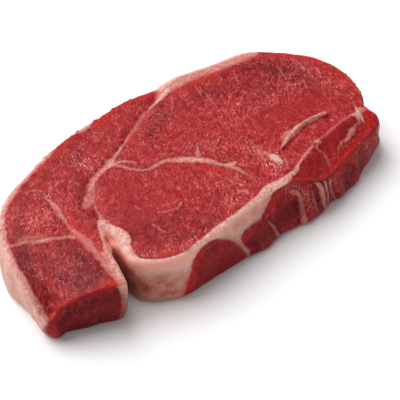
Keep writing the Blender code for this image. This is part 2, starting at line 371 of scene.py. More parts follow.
print("the web stands out by", web(SLIT_TIP, 5.0), "mm at the slit's tip")

# %% Rows of points down the side
WALL_SPACING = 0.85
ROUNDING_ROWS, WALL_ROWS, FOOT_ROWS = 6, 33, 3


def side_rows():
    """Rows of points round the slice, and each point's place on the wall's map."""
    curve, shares = even_steps(smooth_curve(RIM_STATIONS, RIM_STEPS, closed=True), WALL_SPACING)
    rim, foot, edge = curve[:, :2], curve[:, 2:4], curve[:, 4:]
    out, foot_out = outward(rim, WALL_SPACING), outward(foot, WALL_SPACING)
    inner, under = rim - out * edge, foot - foot_out * FOOT_ROUNDING
    crest, along = top_height(inner)[:, None], shares[:, None] * RIM_LENGTH
    rows = []
    for turn in np.linspace(0.0, math.pi / 2, ROUNDING_ROWS, endpoint=False):
        drop = edge * (1.0 - math.cos(turn))
        rows.append(np.hstack([inner + out * (edge * math.sin(turn) + web(along, drop)), crest - drop]))
    for level in np.linspace(1.0, 0.0, WALL_ROWS):
        height = FOOT_ROUNDING + (crest - edge - FOOT_ROUNDING) * level
        stand = wall_relief(shares, rim, level)[:, None] + web(along, crest - height)
        rows.append(np.hstack([foot + (rim - foot) * level + out * stand, height]))
    for turn in np.linspace(0.0, math.pi / 2, FOOT_ROWS + 1)[1:]:
        plan = under + foot_out * FOOT_ROUNDING * math.cos(turn)
        rows.append(np.hstack([plan, np.full_like(crest, FOOT_ROUNDING * (1.0 - math.sin(turn)))]))
    maps = [np.column_stack([shares * RIM_LENGTH, crest[:, 0] - row[:, 2]]) for row in rows]
    return rows, maps


rows, wall_maps = side_rows()
columns = len(rows[0])
print("side rows:", len(rows), "with", columns, "points each")

# %% [markdown]
# ## The fat on the upper face
#
# On the real cut the fat lies where muscles meet or end: a thick cap at the left, the seam between the
# two muscles, a cream edge along the near side, and thin strands inside the lean. Patches are drawn by
# their outlines, and bands along their middles with a half width, all in millimetres on the plan.
#
# Not all fat is alike. Thick fat and gristle are pale, and a thin film lets the red through. So each
# shape starts with three numbers: how pale it is, over how many millimetres its edge fades, and how
# deep a groove the shrinking lean has left beside it. The groove is sunk in the relief and also darkened
# in colour, which is painted shade.

# %% Fat along the rim
RIM_FAT = {
    "cap": (0.58, 0.8, 0.0, [
        (-47, 64.5), (-50.5, 60), (-58.7, 57.2), (-66.7, 55.4), (-75.5, 52.6), (-84.5, 49.4),
        (-93.8, 44.4), (-100.5, 39), (-106.6, 31.4), (-111.2, 22.6), (-115.4, 13), (-118.2, 4),
        (-120.5, -5.6), (-122.2, -14), (-123.6, -22), (-131, -27), (-137, -5), (-124, 40), (-97, 64),
        (-60, 74),
    ]),
    "far rim edge": (1.1, 0.8, 0.0, [
        (30, 60), (31.5, 54), (38, 53), (46, 52.6), (58, 50), (66, 47.6), (74, 45.2), (84, 42.8),
        (94, 40.6), (102, 39), (108, 46), (90, 62), (60, 72), (36, 70),
    ]),
    "far rim": (0.35, 1.6, 0.0, [
        (24, 51), (32.5, 50.4), (40, 49.8), (48, 49), (57, 47), (66, 44.6), (74, 42.2), (83, 39.8),
        (92, 37.6), (100, 36.4), (106, 44), (90, 58), (60, 68), (36, 68), (27, 62), (29, 56),
    ]),
    "front": (0.74, 0.45, 0.1, [
        (-66, 2), (-66.5, -3), (-64.2, -10.5), (-64.3, -18.5), (-68, -24), (-71.5, -29), (-71, -36),
        (-67, -41), (-60, -45.5), (-49, -48), (-30, -47.6), (-5, -48), (14, -46.3), (24, -48.6),
        (33, -48.8), (40, -47.6), (43, -47.4), (38, -49.6), (30, -51.6), (22, -54), (17, -58), (0, -64),
        (-40, -62), (-70, -54), (-84, -44), (-79.5, -28), (-75.5, -15), (-72.5, -8), (-70, 0),
    ]),
    "slit bank": (0.5, 0.5, 0.2, [
        (-70, -1), (-72.3, -3.9), (-75.9, -9.5), (-78.8, -14.3), (-81.8, -19.7), (-84.3, -25.5),
        (-86.6, -32.4), (-88.5, -39), (-91, -47), (-86, -45), (-82, -34), (-78, -22), (-74.5, -14),
        (-71, -7), (-68, -2),
    ]),
    "bank": (0.3, 1.0, 0.0, [
        (-82.4, -16), (-80.4, -18), (-82.5, -25), (-85.5, -32), (-88, -39), (-90, -36), (-88, -29),
        (-85.5, -23),
    ]),
    "far left bits": (0.5, 1.0, 0.0, [(-15, 66), (-19, 62.4), (-24, 61.2), (-28, 61.8), (-32, 66)]),
    "round edge": (0.0, 1.2, 0.0, [
        (92.8, 44.9, 0.0), (102.4, 38.9, 0.4), (110, 30.5, 0.6), (115.8, 21.9, 0.3), (121, 13, 0.6),
        (124.4, 3.7, 0.5), (124.8, -8, 0.3), (123.6, -16.6, 0.5), (119.5, -26, 0.4), (114.3, -34.8, 0.3),
    ]),
    "left rim bits": (0.4, 0.8, 0.0, [
        (-62, 58.6, 0.4), (-56, 60, 1.3), (-50, 61.4, 1.3), (-45, 62.8, 0.7), (-38, 63.9, 0.5),
        (-30, 64.8, 0.3),
    ]),
}
print("along the rim:", ", ".join(RIM_FAT))

# %% Fat between the muscles
SEAM_FAT = {
    "main seam": (0.45, 0.8, 0.25, [
        (24.5, 50.4, 0.6), (20, 49.2, 0.7), (13, 48, 0.3), (6.5, 46, -0.3), (-2, 42.9, -0.4),
        (-8, 40.4, 0.2), (-19, 35.6, 0.6), (-27, 32.5, 0.9), (-33, 30.6, 2.2), (-39, 28.8, 1.9),
        (-44, 28.2, 1.7), (-49, 26.6, 1.6), (-55, 22.6, 1.5), (-61, 18, 1.0), (-67, 14.5, 0.4),
    ]),
    "seam head": (0.8, 0.7, 0.5, [
        (37, 54.4, 2.8), (31, 52.2, 2.3), (26.5, 50.8, 1.6), (21, 49.4, 1.1), (16, 48.3, 0.5),
    ]),
    "faded seam": (0.0, 1.6, 0.3, [
        (20, 49.8, 0.4), (13, 48, 0.7), (6, 45.8, 0.9), (-2, 42.3, 0.9), (-10, 39.6, 0.6),
    ]),
    "lobe edge": (0.2, 0.9, 0.0, [
        (-50, 26, 1.0), (-55.3, 20.2, 0.6), (-61.9, 10.3, 0.4), (-65.6, 3.2, 0.6), (-66.4, -2.6, 1.5),
    ]),
    "membrane": (0.15, 1.2, 0.3, [
        (-55, 24), (-57, 19), (-60.5, 13), (-64, 12.5), (-68, 13.5), (-63, 18), (-58, 22),
    ]),
    "cross seam": (0.45, 1.0, 0.5, [
        (-33, 30, 1.4), (-32.4, 27, 0.9), (-30.2, 21.8, 0.7), (-28, 16.6, 0.5), (-23.6, 11, 0.5),
        (-17.8, 9.6, 0.9), (-12.2, 8.4, 1.1), (-6.6, 4.6, 1.7), (-2.5, 0.8, 2.2), (1.1, -3.9, 2.3),
        (4.6, -8.2, 2.0), (6.4, -11.4, 1.6), (8.2, -17, 1.3), (11.5, -21, 1.8), (14.4, -21.2, 1.2),
    ]),
    "cross seam tail": (0.2, 1.0, 0.6, [
        (10, -20, 1.4), (12.2, -25.5, 1.2), (12.9, -31, 0.8), (13.2, -36, 0.0),
    ]),
    "upper branch": (0.3, 1.1, 0.0, [
        (-32, 28.5, 0.8), (-27, 24.5, 0.7), (-24.5, 21.5, 0.9), (-24, 18, 0.2),
    ]),
    "spur": (0.5, 0.8, 0.2, [(11.5, 4.2, 0.0), (8, 1, 0.4), (4.2, -2.3, 1.0)]),
    "small seam top": (0.3, 1.0, 0.3, [
        (-76, 36, 0.1), (-76.6, 32, 0.5), (-77.2, 28, 1.1), (-77.8, 24, 1.4), (-79.2, 19, 1.1),
        (-81, 12, 0.6),
    ]),
    "small seam": (0.15, 1.0, 0.0, [
        (-80.8, 13, 0.5), (-81.8, 8, 0.8), (-82.2, 3, 1.2), (-81.6, -2, 1.4),
    ]),
    "small seam foot": (0.25, 1.2, 0.2, [
        (-83.5, 0.5), (-81, -1.3), (-80.4, -4.8), (-81.4, -9.7), (-82.6, -15.8), (-83, -19.5),
        (-84.8, -23.7), (-86.5, -30.3), (-88, -37), (-91.5, -45), (-92.6, -41.4), (-90, -35.8),
        (-88.9, -29.1), (-87.8, -24), (-86, -16.7), (-85, -10.5), (-84.6, -3.4),
    ]),
    "block line": (0.2, 1.1, 0.4, [
        (-113, 21.6, 0.1), (-108, 18.4, 0.9), (-103.8, 15.8, 0.8), (-101, 13, 1.2), (-97.5, 10.8, 1.4),
        (-93.5, 8.6, 1.1), (-89.5, 5.6, 0.9), (-85.2, 1.2, 1.4),
    ]),
    "block haze": (0.0, 2.2, 0.0, [
        (-107, 20.4, 0.0), (-103.5, 18.6, 0.7), (-99.5, 16, 1.0), (-95.5, 12.8, 0.4),
    ]),
}
print("between the muscles:", ", ".join(SEAM_FAT))

# %% Strands and flecks inside the lean
STRAND_FAT = {
    "gristle": (0.42, 0.7, 0.35, [
        (41.5, -32.8, 0.3), (47, -31, 1.2), (52.5, -29.4, 1.9), (61.3, -27.9, 1.9), (70.1, -28.4, 1.5),
        (78.2, -29.4, 1.4), (84, -31, 1.6),
    ]),
    "gristle root": (0.2, 1.0, 0.0, [(49, -27.5, 0.6), (53.5, -26.5, 1.2), (58, -26, 0.5)]),
    "white patch": (1.1, 0.8, 0.3, [(33.8, -30.8), (36, -34.2), (34.8, -40), (32.8, -40.6), (31.4, -35)]),
    "star": (0.8, 0.7, 0.5, [
        (105.5, -36), (101.5, -41.5), (103.5, -43), (107.5, -46), (101.5, -46), (99.5, -49),
        (97.5, -51.5), (96.5, -48), (93.5, -50.5), (95.5, -46), (92.5, -42.5), (97.5, -43.5),
    ]),
    "star stem": (0.25, 0.9, 0.4, [
        (95.5, -49.5, 0.5), (91, -49.3, 0.4), (87, -50, 1.4), (83, -51.2, 1.4), (78, -52.2, 0.6),
        (72, -52.2, 0.3), (67, -55, 0.2),
    ]),
    "ridge": (0.5, 0.8, 0.0, [(40, -48, 0.5), (46, -46, 0.7), (54, -44.4, 0.4), (59, -43.8, 0.1)]),
    "ridge line": (0.0, 1.2, 0.0, [
        (58, -43.8, 0.1), (68, -43.2, 0.3), (80, -42.6, 0.5), (94, -43, 0.6), (99, -43.5, 0.6),
    ]),
    "strip line": (0.1, 0.8, 0.0, [
        (60, -45, 0.0), (56.5, -47.5, 0.4), (57.7, -50.5, 0.2), (57.8, -53, 0.4), (54.8, -58, 0.3),
    ]),
    "fat spot": (0.4, 0.8, 0.0, [(60.2, -43.2, 1.0), (62.4, -44.2, 1.3)]),
    "line to patch": (0.3, 0.8, 0.0, [(26, -23, 0.1), (31, -27.5, 0.4), (33, -31, 0.8)]),
    "long fleck": (0.2, 0.8, 0.2, [
        (-42.8, -18.2, 0.2), (-37.3, -21.4, 0.4), (-32.4, -23, 0.3), (-29.4, -22, 0.7),
    ]),
    "bent fleck": (0.1, 0.8, 0.2, [(-50.8, -22.6, 0.4), (-50.2, -26.7, 0.3), (-50, -31, 0.4)]),
    "short fleck": (0.2, 0.9, 0.2, [(-47.4, -5, 0.0), (-47.6, -9.4, 0.3)]),
    "lobe fleck": (0.3, 0.9, 0.0, [(-1, -37.5, 0.1), (2, -41, 0.6), (1, -44, 0.2)]),
    "lobe curl": (0.1, 0.8, 0.0, [(-11.6, -40, 0.1), (-12.3, -43, 0.3), (-11.5, -45, 0.1)]),
    "small muscle vein": (0.1, 0.8, 0.0, [(-82, 46, 0.1), (-77, 43.5, 0.4), (-74.3, 38.6, 0.1)]),
    "bright curl": (0.2, 0.8, 0.0, [(-86, 22, 0.1), (-84.5, 20, 0.4), (-85, 17.5, 0.1)]),
    "upper vein": (0.1, 0.9, 0.0, [(33.3, 47.7, 0.0), (28, 41.5, 0.25), (24, 37, 0.2), (21, 35, 0.0)]),
    "second upper vein": (0.1, 0.9, 0.0, [(50, 44.2, 0.0), (47.6, 39.4, 0.25), (45.4, 33.1, 0.0)]),
    "third upper vein": (0.2, 0.8, 0.0, [(48.8, 32.5, 0.1), (46.5, 27, 0.4), (44.8, 23, 0.2)]),
    "fourth upper vein": (0.1, 0.9, 0.0, [(77.6, 36.9, 0.0), (73.5, 30.6, 0.25), (70.6, 26.3, 0.0)]),
    "right vein": (0.2, 0.8, 0.0, [(113.6, 15.5, 0.1), (110.6, 8.8, 0.4), (108.6, 4.2, 0.6)]),
    "far right vein": (0.2, 0.8, 0.0, [(116, 1.5, 0.1), (113.7, -2, 0.5), (112, -5.5, 0.3)]),
    "right cross": (0.1, 0.9, 0.0, [(99.5, 19.5, 0.1), (97.5, 14.3, 0.3), (94.5, 9, 0.1)]),
    "right hook": (0.1, 0.9, 0.0, [(86.5, 1, 0.1), (92, 0.5, 0.3), (96, -2.8, 0.1)]),
    "right stem": (0.1, 0.9, 0.0, [(100.5, -1, 0.2), (96, -7.4, 0.2)]),
}
FACE_FAT = {**RIM_FAT, **SEAM_FAT, **STRAND_FAT}
print("inside the lean:", ", ".join(STRAND_FAT))

# %% [markdown]
# ## The fat on the wall
#
# The side of a steak is where the muscle was trimmed, and most of it is the fat that lay over the meat,
# with windows of lean cut into it. So the wall is drawn the other way round: it is all fat, and the lean
# windows are patches on the wall's flat map, with white sinews across them. The first number of a
# station is millimetres along the rim, the second is millimetres below it. The fat is palest just under
# the rim and pinker towards the foot. In front, where it is thick, the wall faces away from the lamp,
# and there the fat is made paler still: painted light that lifts it out of the shade.

# %% Lean windows and sinews on the wall
WALL_LEAN = {
    "block end": [
        (2.2, -4), (1.6, 4), (1.8, 14), (2.5, 36), (20, 40), (39.6, 40), (39.8, 28), (40.8, 19), (41, 12),
        (40.2, 6), (38.6, 1), (38, -4), (32, -6), (20, -6),
    ],
    "slit wall": [(49, 9), (47.5, 20), (49, 36), (66, 38), (72, 30), (70, 16), (60, 9)],
    "front window": [
        (126, 38), (127.4, 24.5), (131.4, 11.8), (135, 4.4), (141, 2.2), (147, 2.0), (152.5, 5),
        (159.7, 10.5), (163.2, 15), (168, 24), (171, 38), (150, 44),
    ],
    "near side": [
        (174, 38), (171, 24), (167, 16), (168, 12), (174, 9.4), (180, 9.8), (184, 8.8), (186.5, 6.4),
        (190, 4.4), (193, 2.4), (195, 0), (196, -5), (240, -7), (300, -7), (350, -7), (400, -7), (410, 2),
        (412, 38), (350, 44), (250, 44),
    ],
    "far side": [
        (470, -6), (474, 3), (481, 9), (486, 17), (491, 24), (500, 27), (509, 23), (518, 25), (528, 17),
        (537, 11), (546, 4), (553, 2), (560, -6), (520, -9),
    ],
    "far side foot": [(505, 40), (508, 31), (516, 27.5), (525, 30), (531, 36), (533, 42)],
}
WALL_SINEWS = {
    "wide sinew": (0.3, 0.9, 0.6, [
        (206.5, 5.4, 0.8), (210.4, 7.0, 1.6), (210.6, 13, 1.4), (210.4, 20, 1.4), (211.5, 26, 2.2),
        (213, 34, 3.0),
    ]),
    "bent sinew": (0.5, 0.7, 0.8, [
        (217, -2, 0.8), (223.4, 0.2, 1.3), (226.2, 4.4, 1.6), (226.2, 11, 1.4), (226.9, 17, 1.2),
        (228.5, 23, 0.8),
    ]),
    "second sinew": (0.2, 1.0, 0.6, [
        (221, 6, 0.1), (220.6, 12, 0.7), (221.5, 19, 0.6), (222.5, 27, 0.3),
    ]),
    "third sinew": (0.6, 0.6, 0.8, [
        (229.8, 0.5, 0.4), (230.6, 9.6, 0.9), (230.4, 17, 0.7), (231, 23, 0.3),
    ]),
    "fourth sinew": (0.4, 0.7, 0.6, [
        (232.5, -1, 0.3), (233.8, 4, 0.8), (234.2, 10, 0.6), (236.8, 19, 0.7), (237, 27, 0.2),
    ]),
    "fifth sinew": (0.1, 1.0, 0.4, [(243, 2, 0.1), (242.5, 9, 0.5), (244.5, 17, 0.4), (245, 24, 0.1)]),
    "low pair": (0.7, 0.7, 0.5, [
        (186.8, 13.5, 0.3), (188.5, 18, 1.1), (191.2, 24, 0.8), (194.5, 31, 1.2),
    ]),
    "low pair branch": (0.2, 0.8, 0.3, [(184.5, 22, 0.2), (186, 27, 0.5), (189, 31, 0.8)]),
    "window film": (0.0, 0.9, 0.0, [(176.5, 20, 0.0), (178.5, 26, 0.4), (179, 33, 0.4)]),
    "end sinew": (0.0, 1.2, 0.4, [(262, 6, 0.0), (261, 14, 0.3), (263, 24, 0.4), (262, 31, 0.1)]),
    "lip": (0.45, 1.2, 0.8, [
        (293, 0.5, 0.8), (291.5, 5, 2.6), (290, 12, 3.2), (288.5, 20, 2.2), (287, 31, 0.8),
    ]),
    "round sinew": (0.2, 0.9, 0.5, [(334, 2, 0.2), (336, 12, 0.7), (333, 22, 0.6), (336, 32, 0.7)]),
    "round branch": (0.1, 0.9, 0.3, [(336, 14, 0.4), (341, 20, 0.5), (343, 30, 0.5)]),
    "far sinew": (0.2, 0.9, 0.3, [(503, -2, 0.2), (505, 7, 0.6), (502, 15, 0.5), (504, 24, 0.9)]),
    "far film": (0.1, 1.2, 0.0, [(519, 0, 0.2), (522, 9, 0.5), (519, 17, 0.8), (521, 26, 1.0)]),
    "last sinew": (0.3, 0.9, 0.5, [(372, 4, 0.4), (370, 16, 0.9), (374, 28, 1.0)]),
}
print("windows:", ", ".join(WALL_LEAN), "and", len(WALL_SINEWS), "sinews")

# %% [markdown]
# ## Fresh colour, dull colour and texture
#
# Lean isn't one red. Where a cut edge is thin or freshly torn it is a bright, almost orange red, and deep
# inside the small muscle it is a dull purple. Bright lines fade out over their width, which is a
# station's third number, and the fourth is their strength. Broader strokes of the same kind say where the
# meat is dull, where the fat is tanned, where the marbling is dense, and where the lean is calm, with
# hardly any grain. On the near walls and in the slit, which face away from the lamp, the dull strokes
# are partly painted shade, and at the slit's tip the bright ones are painted light.

# %% Bright lines on the face
FACE_BRIGHT = {
    "block corner": [
        (-122, -22, 1.4, 0.3), (-112, -26, 1.2, 0.2), (-102, -31, 1.6, 0.4), (-96, -33.5, 3, 0.7),
        (-91, -36, 3, 0.8), (-88.5, -36.5, 2, 0.5),
    ],
    "bank lean": [
        (-76.5, 1, 1.0, 0.5), (-77.8, -6, 1.3, 0.8), (-80, -13, 1.2, 0.8), (-81.5, -18, 0.7, 0.4),
    ],
    "small seam": [
        (-75, 23, 1.4, 0.3), (-76.8, 16, 2.4, 0.5), (-79.2, 9, 2.6, 0.7), (-81.2, 1, 2.6, 0.9),
        (-82.4, -6, 2.0, 0.4),
    ],
    "far left rim": [
        (28, 56.6, 1.8, 0.9), (24, 58.6, 3.0, 1.1), (16, 61, 2.4, 0.5), (5, 63, 1.8, 0.7),
        (-3, 63.4, 2.4, 1.1), (-11, 62, 3.0, 1.4), (-16, 61, 2.6, 1.3), (-19.5, 60.2, 1.6, 0.5),
    ],
    "left rim": [
        (-27, 60, 1.6, 0.3), (-36, 60.4, 1.6, 0.6), (-46, 58.4, 1.6, 0.7), (-54, 56.4, 1.4, 0.6),
        (-64, 54, 1.0, 0.4),
    ],
    "below cross seam": [
        (-3, -8, 0.8, 0.5), (1, -15.5, 1.8, 0.8), (5.5, -21, 1.8, 0.8), (8, -27, 0.6, 0.3),
    ],
    "round end": [
        (110, -40, 2.0, 0.3), (120, -22, 2.8, 0.5), (122.5, 0, 2.8, 0.7), (116, 18, 2.4, 0.7),
        (104, 34, 2.0, 0.4), (90, 40, 1.6, 0.3),
    ],
    "far rim": [
        (96, 34.6, 1.6, 0.3), (83, 38, 1.8, 0.4), (70, 41.4, 2.0, 0.6), (57, 45, 2.0, 0.7),
        (36, 47.8, 1.4, 0.5),
    ],
    "strip edge": [
        (106, -45, 3.4, 1.1), (105, -50, 4.0, 1.3), (99, -54, 3.4, 0.9), (88, -56, 2.0, 0.5),
        (77, -57, 2.8, 0.7), (67, -57.5, 3.8, 0.9), (58, -58.6, 2.4, 0.6), (50, -60, 1.4, 0.3),
    ],
    # Painted light: brightens the shaded rounding into the slit's tip.
    "slit tip painted light": [
        (-72.6, -8.4, 1.0, 0.4), (-73.4, -11, 1.8, 1.0), (-74, -14, 2.4, 1.0), (-74.6, -18, 2.0, 0.4),
    ],
    "front lean": [
        (-66, -31, 1.0, 0.2), (-62, -39, 1.6, 0.4), (-53, -44.5, 1.8, 0.35), (-46, -45, 1.2, 0.1),
    ],
    "cap border": [
        (-60, 57, 1.0, 0.2), (-85, 49, 1.2, 0.3), (-102, 33, 1.2, 0.2), (-114, 8, 1.2, 0.2),
        (-119, -12, 1.2, 0.3),
    ],
}
print("bright lines on the face:", ", ".join(FACE_BRIGHT))

# %% Bright lines on the wall
WALL_BRIGHT = {
    "block top": [(2, 1.5, 1.6, 0.4), (14, 0.6, 1.4, 0.3), (28, 0.6, 1.6, 0.4), (38, 0.4, 2.0, 0.8)],
    "block corner": [(3, 4, 2.0, 0.5), (3.5, 16, 2.8, 0.7), (6, 28, 3.4, 0.8), (10, 32, 2.6, 0.5)],
    # Painted light: the slit's tip is in deep shade, and these strokes brighten its tissue to orange red.
    "slit tip painted light": [
        (64, 8, 5, 0.3), (71, 6, 7, 0.9), (78, 6, 8, 1.2), (85, 6, 6, 1.0), (92, 9, 5, 0.6),
        (100, 12, 5, 0.4),
    ],
    "window left": [
        (128, 33, 4.2, 1.4), (129.5, 24, 3.6, 1.2), (133, 12, 2.6, 0.8), (138.5, 5, 2.0, 0.7),
        (147, 3.8, 1.8, 0.5), (156, 8, 1.4, 0.4), (163, 15, 1.0, 0.2),
    ],
    "second window": [(170, 17, 1.2, 0.7), (172.5, 13, 1.8, 0.7), (178, 11.5, 0.8, 0.2)],
    "shoulder": [
        (176, 4, 2.5, 0.1), (184, 6, 2.5, 0.4), (190, 4, 3.0, 0.5), (197, 1, 3.0, 0.4),
        (203, 0, 2.0, 0.1),
    ],
    "third window": [
        (188, 9.5, 1.2, 0.3), (194, 7, 1.8, 0.8), (198.5, 3.4, 2.0, 0.8), (204, 3.6, 1.2, 0.5),
        (207.6, 8, 1.8, 0.9),
    ],
    "strip edge": [
        (234, 1, 2, 0.5), (244, 2, 3.6, 0.8), (256, 2, 3.0, 0.5), (275, 1, 2, 0.3), (285, 1.5, 2.0, 0.3),
    ],
}
print("bright lines on the wall:", ", ".join(WALL_BRIGHT))

# %% Dull areas on the face
FACE_DULL = {
    "far edge": [
        (60, 42, 6, 0.2), (78, 37, 7, 0.4), (90, 29, 10, 0.8), (99, 14, 11, 0.9), (103, -4, 9, 0.7),
        (102, -18, 6, 0.3),
    ],
    "upper lean": [
        (30, 38, 7, 0.3), (45, 33, 9, 0.4), (61, 26, 12, 0.5), (78, 14, 11, 0.6), (88, -2, 8, 0.4),
    ],
    "by the main seam": [(20, 38, 6, 0.6), (8, 34, 6, 0.6), (-2, 28, 6, 0.4), (-10, 22, 5, 0.2)],
    "lobe front": [(-52, -38, 5, 0.5), (-38, -42, 5, 0.6), (-22, -44, 4, 0.4)],
    "lobe": [(-68, -18, 6, 0.2), (-55, -24, 9, 0.45), (-40, -32, 9, 0.5), (-26, -38, 8, 0.35)],
    "beside the lobe": [
        (-30, 62, 5, 0.4), (-44, 47, 5, 0.4), (-56, 30, 5, 0.5), (-65, 18, 4, 0.6), (-70, 6, 4, 0.5),
    ],
    "block": [(-108, 4, 8, 0.5), (-104, -8, 9, 0.75), (-99, -20, 9, 1.0), (-101, -36, 9, 1.0)],
    "block right": [(-91, 0, 5, 0.7), (-92, -14, 5, 1.0), (-95, -30, 5, 1.0)],
    "left edge": [
        (-78, 48, 3, 0.4), (-91, 39, 4, 0.5), (-104, 24, 4, 0.7), (-112, 12, 5, 1.0), (-116.5, 0, 5, 1.0),
        (-119, -15, 4, 0.9),
    ],
    "slope": [(38, -50, 4, 0.2), (48, -52, 6, 0.35), (56, -52, 5, 0.2)],
    "strip": [(64, -47, 3, 0.1), (80, -46, 3.5, 0.2), (94, -46, 3, 0.1)],
}
print("dull areas of the face:", ", ".join(FACE_DULL))

# %% Dull areas and painted shade on the wall
# Partly the meat's own dull colour and partly painted shade: the strongest strokes darken the near walls
# and the slit, which face away from the lamp.
WALL_DULL_AND_SHADE = {
    "block end": [(5, 22, 13, 0.8), (20, 21, 14, 1.0), (38, 21, 13, 1.0)],
    "block end top": [(4, 8, 6, 0.6), (12, 8, 7, 1.0), (38, 8, 7, 1.0)],
    "slit": [
        (50, 20, 15, 1.0), (66, 20, 10, 0.7), (74, 18, 8, 0.2), (79, 18, 8, 0.0), (86, 19, 9, 0.2),
        (93, 20, 11, 0.5), (100, 19, 10, 0.7),
    ],
    "slit side": [(100, 16, 8, 0.6), (107, 18, 7, 0.4), (112, 20, 5, 0.1)],
    "slit top": [(88, 12, 4, 0.1), (93, 11, 5, 0.4), (99, 10, 5, 0.5)],
    "front window": [(143, 22, 9, 0.55), (160, 23, 9, 0.6)],
    "front window top": [(145, 10, 6, 0.4), (154, 12, 6, 0.5)],
    "near windows": [(177, 23, 9, 0.75), (186, 20, 8, 0.65), (198, 18, 9, 1.0), (206, 16, 6, 1.0)],
    "strip": [
        (218, 18, 6, 0.3), (236, 16, 9, 0.5), (256, 13, 7, 0.6), (270, 16, 8, 0.4), (286, 18, 8, 0.3),
    ],
    "round end": [(305, 20, 12, 0.5), (400, 20, 12, 0.5)],
    "far side": [(485, 20, 12, 0.4), (525, 20, 12, 0.4)],
}
print("dull areas of the wall:", ", ".join(WALL_DULL_AND_SHADE))

# %% Tanned fat
FACE_TANNED = {
    "slit mouth": [
        (-69.5, -5, 1.4, 0.2), (-70.8, -9, 2.0, 0.9), (-72.3, -15, 1.8, 0.8), (-74.5, -21, 1.4, 0.6),
        (-75.5, -27, 1.2, 0.3),
    ],
    "far rim": [
        (33, 57, 3.0, 0.2), (44, 56.5, 3.0, 0.4), (60, 53, 3.0, 0.45), (78, 48.5, 3.0, 0.4),
        (94, 43.5, 3.0, 0.2),
    ],
}
WALL_TANNED = {
    "slit": [(68, 5, 7, 1.0), (77, 6, 7, 1.0), (86, 8, 5, 1.0), (98, 10, 7, 1.0)],
    "front wall": [(98, 18, 12, 0.9), (112, 19, 13, 1.0), (128, 24, 9, 0.9)],
    "by the windows": [(158, 5, 4, 0.4), (172, 5, 4, 0.5), (190, 2, 4, 0.4)],
    "far side": [(430, 20, 14, 0.4), (475, 20, 14, 0.4), (545, 20, 14, 0.3)],
}
print("tanned areas:", len(FACE_TANNED) + len(WALL_TANNED))

# %% Marbled lean
FACE_MARBLED = {
    "by the white patch": [(30, -26, 6, 0.8), (32, -36, 8, 1.0), (25, -46, 5, 0.7)],
    "along the cross seam": [(4, 6, 6, 0.4), (22, -8, 8, 0.5), (32, -24, 6, 0.7)],
    "right of the lobe": [(-14, -24, 7, 0.3), (4, -34, 10, 0.6), (-10, -43, 5, 0.5)],
    "top of the small muscle": [(-46, 53, 6, 0.5), (-43, 46, 8, 0.6), (-43, 35, 6, 0.7)],
    "small muscle": [(-98, 34, 8, 0.6), (-88, 24, 10, 0.7), (-72, 34, 7, 0.5)],
    "block": [(-113, 0, 6, 0.4), (-106, -10, 9, 0.5), (-92, -18, 7, 0.2), (-98, -30, 7, 0.3)],
    "round end": [(48, 14, 14, 0.4), (79, 0, 12, 0.4), (106, 8, 10, 0.6), (106, -24, 6, 0.5)],
    "front edge": [(-70, -30, 3, 0.5), (-61, -39, 4, 0.7), (-46, -45, 3, 0.6), (-20, -45, 3, 0.3)],
    "by the main seam": [(16, 40, 8, 0.4), (-6, 26, 12, 0.3)],
}
WALL_MARBLED = {
    "below the slope": [(202, 1, 4, 0.9), (212, 4, 5, 0.8), (218, 14, 6, 0.8), (240, 14, 9, 0.3)],
    "strip end": [(276, 14, 6, 0.2), (286, 12, 8, 0.6), (296, 12, 8, 0.5)],
    "round end": [(320, 16, 12, 0.35), (390, 16, 12, 0.35)],
}
print("marbled areas:", len(FACE_MARBLED) + len(WALL_MARBLED))

# %% Calm lean
FACE_CALM = {
    "lobe": [(-42, 10, 9, 0.5), (-52, -8, 10, 0.6), (-58, -24, 7, 0.5)],
    "by the gristle": [(62, -12, 9, 0.4), (86, -20, 9, 0.5), (100, -30, 6, 0.4)],
    "strip": [(62, -48, 3.5, 0.9), (80, -47, 4, 0.9), (98, -48, 3, 0.6)],
    "slope": [(33, -52, 4, 0.6), (46, -53, 6, 0.9), (54, -54, 5, 0.9)],
    "left rim": [(-26, 60.5, 2.5, 1.0), (-36, 60, 2.5, 1.0), (-46, 58, 2.5, 1.0), (-58, 55, 2.0, 0.8)],
}
WALL_CALM = {
    "block end": [(3, 18, 16, 1.0), (38, 18, 16, 1.0)],
    "front window": [(136, 18, 12, 0.9), (160, 20, 12, 0.9)],
    "near windows": [(176, 22, 12, 0.8), (186, 20, 10, 0.7), (202, 15, 9, 0.9)],
    "strip": [(232, 18, 8, 0.3), (268, 18, 10, 0.5)],
    "far side": [(490, 18, 16, 0.6), (520, 18, 16, 0.6)],
}
print("calm areas:", len(FACE_CALM) + len(WALL_CALM))

# %% Reading the soft strokes
def glow(places, stroke):
    """The strength of a stroke that fades out over its width on both sides."""
    signed, extras = nearest_on(places, smooth_curve(stroke, DRAWN_STEPS))
    return extras[:, 1] * bell(signed / extras[:, 0])


def soft_area(places, strokes):
    """The strongest of the soft strokes at each place, or zero without any."""
    return deepest([np.zeros(len(places)), *(glow(places, stroke) for stroke in strokes.values())])


print("calm at the lobe's middle:", soft_area(np.array([[-50.0, -5.0]]), FACE_CALM).round(2))

# %% [markdown]
# ## Filling the two cut faces
#
# The wall is a grid, but the cut faces have any outline, so they are filled with evenly spread points and
# joined by a Delaunay triangulation, which makes the fattest triangles that it can. Thin bands of fat get
# rows of points along their middles. Without them a strand narrower than a triangle would break up.

# %% Points over a cut face
TOP_SPACING, BOTTOM_SPACING = 0.86, 2.2
EDGE_CLEARANCE, STRAND_CLEARANCE, ROW_CLEARANCE = 0.62, 0.6, 0.35
STRAND_OFFSETS = np.linspace(-1.0, 1.0, 5)
TRIANGLE_HEIGHT = math.sqrt(0.75)


